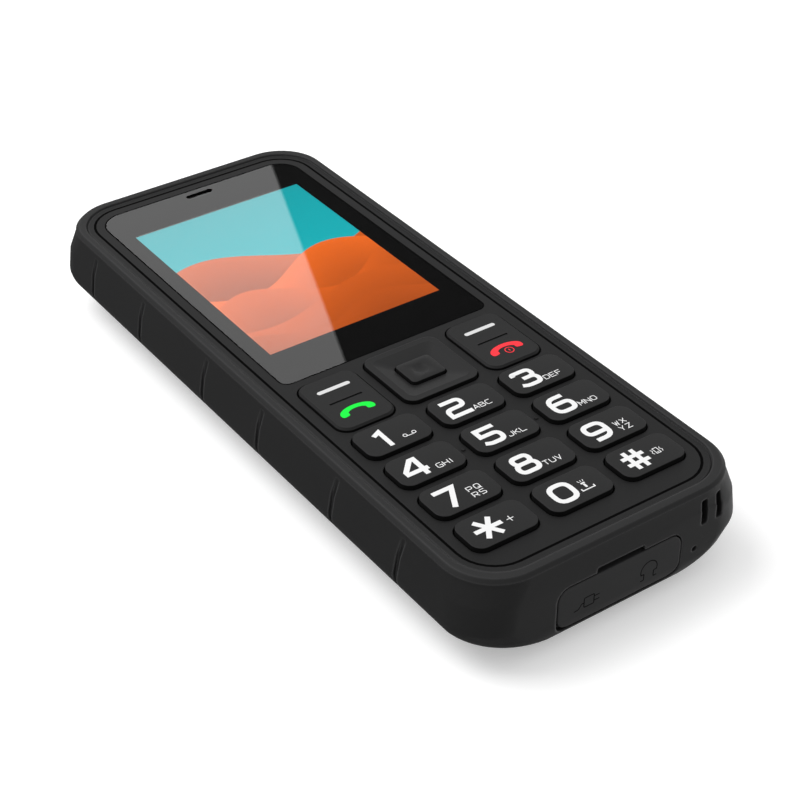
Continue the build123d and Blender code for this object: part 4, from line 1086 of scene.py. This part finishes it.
class PHONE_OT_function_keys(bpy.types.Operator):
    """Finishes the two function keys and prints their bars and call marks"""

    bl_idname = "phone.function_keys"
    bl_label = "Function keys"

    def execute(self, context):
        colours = context.scene.phone_colours
        bar_share, ink_rise = 0.82, 0.02
        bar_y, bar_half, bar_width = -11.4, 2.85, 0.86
        handset_y, handset_share = -18.45, 0.94
        power_x, power_y, power_radius, power_stroke = 0.4, -19.5, 0.8, 0.16
        tick_foot, tick_head, tick_stroke = -19.75, -19.2, 0.18
        cap = key_finish("function_key_plastic", 0.48)
        bar_ink = ink_finish("grey_bar", shaded(colours.legend, bar_share))
        marks = {"function_key_left": (ink_finish("call_green", colours.call), -0.15),
                 "function_key_right": (ink_finish("end_red", colours.end), 0.2)}
        for node, (ink, shift) in marks.items():
            smooth_copy(node, cap, node)
            low, high = box_mm(node)
            middle = (low.x + high.x) / 2
            bar = FlatArt(high.z + ink_rise, ink_depth)
            bar.stroke([(middle - bar_half, bar_y), (middle + bar_half, bar_y)], bar_width)
            for side in (-1, 1):
                bar.disc((middle + side * bar_half, bar_y), bar_width / 2)
            make_piece(node + "_bar", bar.form(), bar_ink, node)
            art = FlatArt(high.z + ink_rise, ink_depth)
            draw_handset(art, (middle + shift, handset_y), handset_share)
            if node == "function_key_right":
                art.ring((middle + power_x, power_y), power_radius, power_stroke)
                art.stroke([(middle + power_x, tick_foot), (middle + power_x, tick_head)],
                           tick_stroke)
            make_piece(node + "_mark", art.form(), ink, node)
        return {"FINISHED"}


class PHONE_OT_navigation(bpy.types.Operator):
    """Finishes the navigation ring and the centre key"""

    bl_idname = "phone.navigation"
    bl_label = "Navigation keys"

    def execute(self, context):
        ring = key_finish("navigation_plastic", 0.42)
        low, high = box_mm("nav_ring")
        inner, outer = box_mm("ok_key")
        middle = middle_of(low, high)
        foot, crown, top = low.z + 0.2, high.z, outer.z

        def rings(width, length, profile):
            """Rounded rings from a profile of insets, corner radii and levels."""
            return [rounded_ring(middle, width - inset, length - inset, corner, level)
                    for inset, corner, level in profile]

        # The ring's flange, wall, rim and dish, then the well round the centre key
        width, length = high.x - low.x, high.y - low.y
        key_width, key_length = outer.x - inner.x, outer.y - inner.y
        outside = rings(width, length, (
            (0.0, 0.3, foot), (0.0, 0.3, foot + 0.5), (1.0, 2.1, foot + 0.5),
            (1.0, 2.1, crown - 0.1), (1.06, 2.07, crown - 0.03), (1.2, 2.0, crown),
            (3.6, 1.3, crown - 0.02), (3.9, 1.2, crown - 0.06)))
        well = rings(key_width + 2 * key_gap, key_length + 2 * key_gap, (
            (-0.3, 1.2, crown - 0.5), (0.0, 1.1, crown - 0.55), (0.0, 1.1, foot)))
        piece = make_piece("nav_ring_cap", skin(outside + well + outside[:1], False), ring,
                           "nav_ring", 12.0)
        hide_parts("nav_ring")

        # The centre key's plunger, cap and dimple
        plunger = [round_ring(middle, 2.2, level) for level in (inner.z, foot)]
        cap = rings(key_width, key_length, ((0.0, 0.8, foot), (0.0, 0.8, top - 0.1),
                                            (0.06, 0.77, top - 0.03), (0.2, 0.7, top)))
        dimple = [round_ring(middle, across, top - drop)
                  for across, drop in ((3.2, 0.0), (2.9, 0.06), (2.0, 0.22), (1.0, 0.3))]
        piece = make_piece("ok_key_cap", skin(plunger + cap + dimple), ring, "ok_key",
                           25.0)
        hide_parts("ok_key")
        finish_nodes(ring, "nav_gimbal")
        return {"FINISHED"}


class PHONE_OT_ports(bpy.types.Operator):
    """Makes the port flap with its marks, and the sockets behind it"""

    bl_idname = "phone.ports"
    bl_label = "Ports"

    def execute(self, context):
        colours = context.scene.phone_colours
        metal = moulded_finish("socket_metal", (0.35, 0.35, 0.36), 0.35, metallic=1.0)
        finish_nodes(metal, "usb_socket")
        dark = moulded_finish("socket_plastic", (0.015, 0.015, 0.015), 0.5)
        finish_nodes(dark, "headphone_socket", "microphone")
        gold = moulded_finish("socket_gold", (0.8, 0.55, 0.2), 0.3, metallic=1.0)

        # The marks are drawn flat and stood up against the flap, which leans in above its bend
        flap_lift, mark_shade_share, mark_rise, mark_depth = 1.5, 0.1, 0.004, 0.02
        mark_stroke, mark_level, plug_x, headphones_x, bend = 0.17, 7.4, -6.4, 6.0, 9.0
        flap = moulded_finish("flap_rubber", shaded(colours.casing, flap_lift), 0.58)
        smooth_copy("port_flap", flap, "port_flap")
        low = box_mm("port_flap")[0]
        art = FlatArt(mark_rise, mark_depth, 0.0)
        draw_plug(art, (plug_x, mark_level), mark_stroke)
        draw_headphones(art, (headphones_x, mark_level), mark_stroke)
        points = [(x, low.y + end_lean * max(0.0, z - bend) - rise, z) for x, z, rise in art.points]
        # The moulded marks' dark lines are painted shade of their relief
        line = ink_finish("moulded_mark_shade", shaded(colours.casing, mark_shade_share), 0.0)
        make_piece("flap_marks", (points, art.faces), line, "port_flap")

        # The charging socket's tongue with five contacts
        tongue_width, tongue_length, tongue_depth = 4.6, 3.0, 2.2
        tongue_corner, tongue_half = 0.3, 0.3
        strip_half, strip_start, strip_stop, strip_pitch = 0.22, 1.0, 3.4, 0.9
        strip_rise, strip_depth = 0.33, 0.06
        low, high = box_mm("usb_socket")
        middle = (low.x + high.x) / 2
        tongue = [rounded_ring((middle, low.y + tongue_depth), tongue_width, tongue_length,
                               tongue_corner, socket_level + rise, 3)
                  for rise in (-tongue_half, tongue_half)]
        make_piece("charging_tongue", skin(tongue), dark, "phone_body")
        strips = FlatArt(socket_level + strip_rise, strip_depth, 0.0)
        for place in range(-2, 3):
            x = middle + place * strip_pitch
            strips.slab(quad(x - strip_half, low.y + strip_start,
                             x + strip_half, low.y + strip_stop))
        make_piece("charging_contacts", strips.form(), gold, "phone_body")

        # The headphone socket's contact ring, as depths and radii
        contact = ((2.5, 1.79), (2.6, 1.7), (4.0, 1.7), (4.1, 1.79))
        low, high = box_mm("headphone_socket")
        middle = ((low.x + high.x) / 2, socket_level)
        rings = [[(x, low.y + depth, z) for x, z in circle(middle, radius, 32)]
                 for depth, radius in contact]
        make_piece("headphone_contact", skin(rings, False), gold, "phone_body")
        return {"FINISHED"}


class PHONE_OT_back(bpy.types.Operator):
    """Makes the camera, the torch and the loudspeaker mesh in the upper back"""

    bl_idname = "phone.back"
    bl_label = "Back"

    def execute(self, context):
        finish_nodes(glass_finish("camera_glass", (0.75, 0.75, 0.8), 0.02), "camera_window")
        finish_nodes(glass_finish("torch_clear", (0.95, 0.95, 0.9), 0.12), "torch_lens")
        finish_nodes(mesh_finish("speaker_mesh", (0.08, 0.08, 0.08), 0.4), "speaker_mesh")
        finish_nodes(moulded_finish("speaker_case", (0.02, 0.02, 0.02), 0.5), "loudspeaker")
        black = moulded_finish("camera_body", (0.006, 0.006, 0.006), 0.4)
        finish_nodes(black, "camera_module")
        middle = middle_of(*box_mm("camera_window"))

        def turned(profile, sides=40):
            """Rings round the camera's axis, clockwise because the back is seen from below."""
            return [[(x, 2 * middle[1] - y, level) for x, y in circle(middle, radius, sides)]
                    for radius, level in profile]

        # Radii and levels, from the window inwards
        barrel = ((3.75, 0.95), (3.3, 0.95), (3.2, 1.1), (2.6, 1.12), (2.5, 1.3), (1.9, 1.32),
                  (1.75, 1.5))
        make_piece("camera_barrel", skin(turned(barrel), False), black, "phone_body")
        dome_radius, dome_level, dome_rise, steps = 1.7, 1.5, 0.35, 6
        angles = [math.pi / 2 * step / steps for step in range(steps)]
        dome = ((0.001, 1.56), (dome_radius, 1.56),
                *((dome_radius * math.cos(angle), dome_level - dome_rise * math.sin(angle))
                  for angle in angles), (0.05, dome_level - dome_rise))
        lens = glass_finish("camera_lens", (0.35, 0.3, 0.6), 0.03)
        make_piece("camera_dome", skin(turned(dome)), lens, "phone_body")

        chip_width, chip_corner, chip_low, chip_high = 1.8, 0.3, 0.02, 0.3
        low, high = box_mm("torch_lens")
        chip = [rounded_ring(middle_of(low, high), chip_width, chip_width, chip_corner,
                             high.z + rise, 4) for rise in (chip_low, chip_high)]
        glow = moulded_finish("torch_phosphor", (0.75, 0.6, 0.12), 0.6, grain=9000.0)
        make_piece("torch_chip", skin(chip), glow, "phone_body")
        return {"FINISHED"}


class PHONE_OT_inside(bpy.types.Operator):
    """Finishes the board, the battery and the other inner parts"""

    bl_idname = "phone.inside"
    bl_label = "Inside"

    def execute(self, context):
        for name, colour, roughness, metallic, nodes in (
                ("board_green", (0.01, 0.09, 0.03), 0.4, 0.0, ["main_board"]),
                ("shield_tin", (0.5, 0.5, 0.5), 0.35, 1.0,
                 ["board_shield", "dome_switches", "sim_holder"]),
                ("mat_rubber", (0.2, 0.2, 0.2), 0.7, 0.0, ["keypad_mat"]),
                ("inner_plastic", (0.03, 0.03, 0.03), 0.5, 0.0,
                 ["inner_frame", "vibration_motor", "antenna"]),
                ("battery_case", (0.05, 0.05, 0.055), 0.5, 0.0, ["battery"]),
                ("contact_gold", (0.8, 0.55, 0.2), 0.3, 1.0, ["battery_contacts"])):
            finish_nodes(moulded_finish(name, colour, roughness, metallic=metallic), *nodes)
        return {"FINISHED"}


# The stage


def turn_to(made, target):
    """Turns a lamp or a camera to look at a point."""
    made.rotation_euler = (Vector(target) - made.location).to_track_quat("-Z", "Y").to_euler()


def lay_floor():
    """A plain pale floor under the phone, which gloss doesn't see."""
    reach, level = 6.0, -0.0002
    mesh = bpy.data.meshes.new("floor")
    mesh.from_pydata([(x, y, level) for x, y in quad(-reach, -reach, reach, reach)], [],
                     [(0, 1, 2, 3)])
    material, _, shader = new_material("pale_floor")
    set_values(shader, {"Base Color": (0.85, 0.85, 0.85, 1.0), "Roughness": 0.9,
                        "Specular IOR Level": 0.0, "Emission Color": (1.0, 1.0, 1.0, 1.0),
                        "Emission Strength": 0.3})
    mesh.materials.append(material)
    floor = add_object("floor", mesh)
    floor.visible_glossy = False


def light_world(scene, stage):
    """An even light from all sides, white to the camera, that gloss sees fall off from above."""
    right_start, right_stop, rise_start, rise_stop = 0.48, 0.62, -0.2, 0.35
    world = bpy.data.worlds.new("studio")
    world.use_nodes = True
    scene.world = world
    tree = world.node_tree
    background = tree.nodes["Background"]
    set_values(background, {"Color": (1.0, 1.0, 1.0, 1.0)})
    axes = place_axes(tree, "Generated")
    right = ramp_node(tree, axes[0], right_start, right_stop, stage.under_light, stage.right_light)
    rise = ramp_node(tree, axes[2], rise_start, rise_stop, right)
    path = tree.nodes.new("ShaderNodeLightPath")
    camera_ray, glossy_ray = path.outputs["Is Camera Ray"], path.outputs["Is Glossy Ray"]
    gloss = math_node(tree, "MULTIPLY", glossy_ray, rise)
    plain = math_node(tree, "SUBTRACT", 1.0, math_node(tree, "ADD", camera_ray, glossy_ray))
    rest = math_node(tree, "MULTIPLY", math_node(tree, "MAXIMUM", plain, 0.0), stage.sky_light)
    link(tree, math_node(tree, "ADD", camera_ray, math_node(tree, "ADD", gloss, rest)),
         background.inputs["Strength"])


def hang_card(stage):
    """A dark card that only the gloss sees, placed by its mirror image on the glass."""
    image = ((20.2, 68.4), (-14.8, -18.6), (110.6, -18.6), (137.5, 68.4))
    edge_sharpness = 180.0
    behind = Vector(stage.camera_place)
    behind.z = 2 * stage.glass_level - behind.z
    spread = [Vector((x * MM, y * MM, stage.glass_level)) for x, y in image]
    mesh = bpy.data.meshes.new("dark_card")
    mesh.from_pydata([behind + (point - behind) * stage.card_reach for point in spread], [],
                     [(0, 1, 2, 3)])
    layer = mesh.uv_layers.new(name="across")
    for corner, across in enumerate((0.0, 0.0, 1.0, 1.0)):
        layer.data[corner].uv = (across, 0.0)
    material, tree, shader = new_material("dark_card")
    set_values(shader, {"Base Color": (0.0, 0.0, 0.0, 1.0), "Specular IOR Level": 0.0,
                        "Emission Color": (1.0, 1.0, 1.0, 1.0), "Emission Strength": 0.05})
    place = tree.nodes.new("ShaderNodeUVMap")
    place.uv_map = layer.name
    across = split_axes(tree, place.outputs["UV"])[0]
    link(tree, math_node(tree, "MINIMUM", math_node(
        tree, "MULTIPLY", across, edge_sharpness), 1.0), shader.inputs["Alpha"])
    mesh.materials.append(material)
    card = add_object("dark_card", mesh)
    card.visible_camera = False
    card.visible_diffuse = False
    card.visible_shadow = False


class PHONE_OT_stage(bpy.types.Operator):
    """Makes the pale floor, the soft lights and the camera"""

    bl_idname = "phone.stage"
    bl_label = "Stage"

    def execute(self, context):
        scene = context.scene
        stage = scene.phone_stage
        lay_floor()
        light_world(scene, stage)
        hang_card(stage)

        lamp = bpy.data.lights.new("soft_key", "AREA")
        lamp.shape = "RECTANGLE"
        lamp.size, lamp.size_y = 0.6, 0.6
        lamp.energy = stage.key_light
        light = add_object("soft_key", lamp)
        light.location = (-0.35, 0.35, 0.75)
        turn_to(light, (0, 0, 0))

        camera_data = bpy.data.cameras.new("photo_camera")
        camera_data.lens = stage.camera_lens
        camera_data.sensor_width = 36.0
        camera_data.clip_start = 0.01
        camera = add_object("photo_camera", camera_data)
        camera.location = stage.camera_place
        turn_to(camera, stage.camera_aim)
        scene.camera = camera
        scene.view_settings.view_transform = "Standard"
        return {"FINISHED"}


operators = (PHONE_OT_casing, PHONE_OT_display, PHONE_OT_number_keys, PHONE_OT_function_keys,
             PHONE_OT_navigation, PHONE_OT_ports, PHONE_OT_back, PHONE_OT_inside, PHONE_OT_stage)


class PHONE_PT_sidebar(bpy.types.Panel):
    """Lists the steps that dress the phone"""

    bl_idname = "PHONE_PT_sidebar"
    bl_label = "Rugged phone"
    bl_space_type = "VIEW_3D"
    bl_region_type = "UI"
    bl_category = "Phone"

    def draw(self, context):
        for operator in operators:
            self.layout.operator(operator.bl_idname)


classes = (PhoneColours, PhoneSizes, PhoneStage, *operators, PHONE_PT_sidebar)


def register():
    """Registers the classes and the settings on the scene."""
    for one in classes:
        bpy.utils.register_class(one)
    bpy.types.Scene.phone_colours = bpy.props.PointerProperty(type=PhoneColours)
    bpy.types.Scene.phone_sizes = bpy.props.PointerProperty(type=PhoneSizes)
    bpy.types.Scene.phone_stage = bpy.props.PointerProperty(type=PhoneStage)


def unregister():
    """Takes the settings and the classes away again."""
    del bpy.types.Scene.phone_colours
    del bpy.types.Scene.phone_sizes
    del bpy.types.Scene.phone_stage
    for one in reversed(classes):
        bpy.utils.unregister_class(one)


def main():
    """Dresses the phone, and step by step."""
    register()
    make_moulded_grain()
    make_edge_round_and_light_mask()
    make_woven_mesh()
    make_upward_faces()
    bpy.ops.phone.casing()
    bpy.ops.phone.display()
    bpy.ops.phone.number_keys()
    bpy.ops.phone.function_keys()
    bpy.ops.phone.navigation()
    bpy.ops.phone.ports()
    bpy.ops.phone.back()
    bpy.ops.phone.inside()
    bpy.ops.phone.stage()
    bpy.context.view_layer.update()


if __name__ == "__main__":
    main()
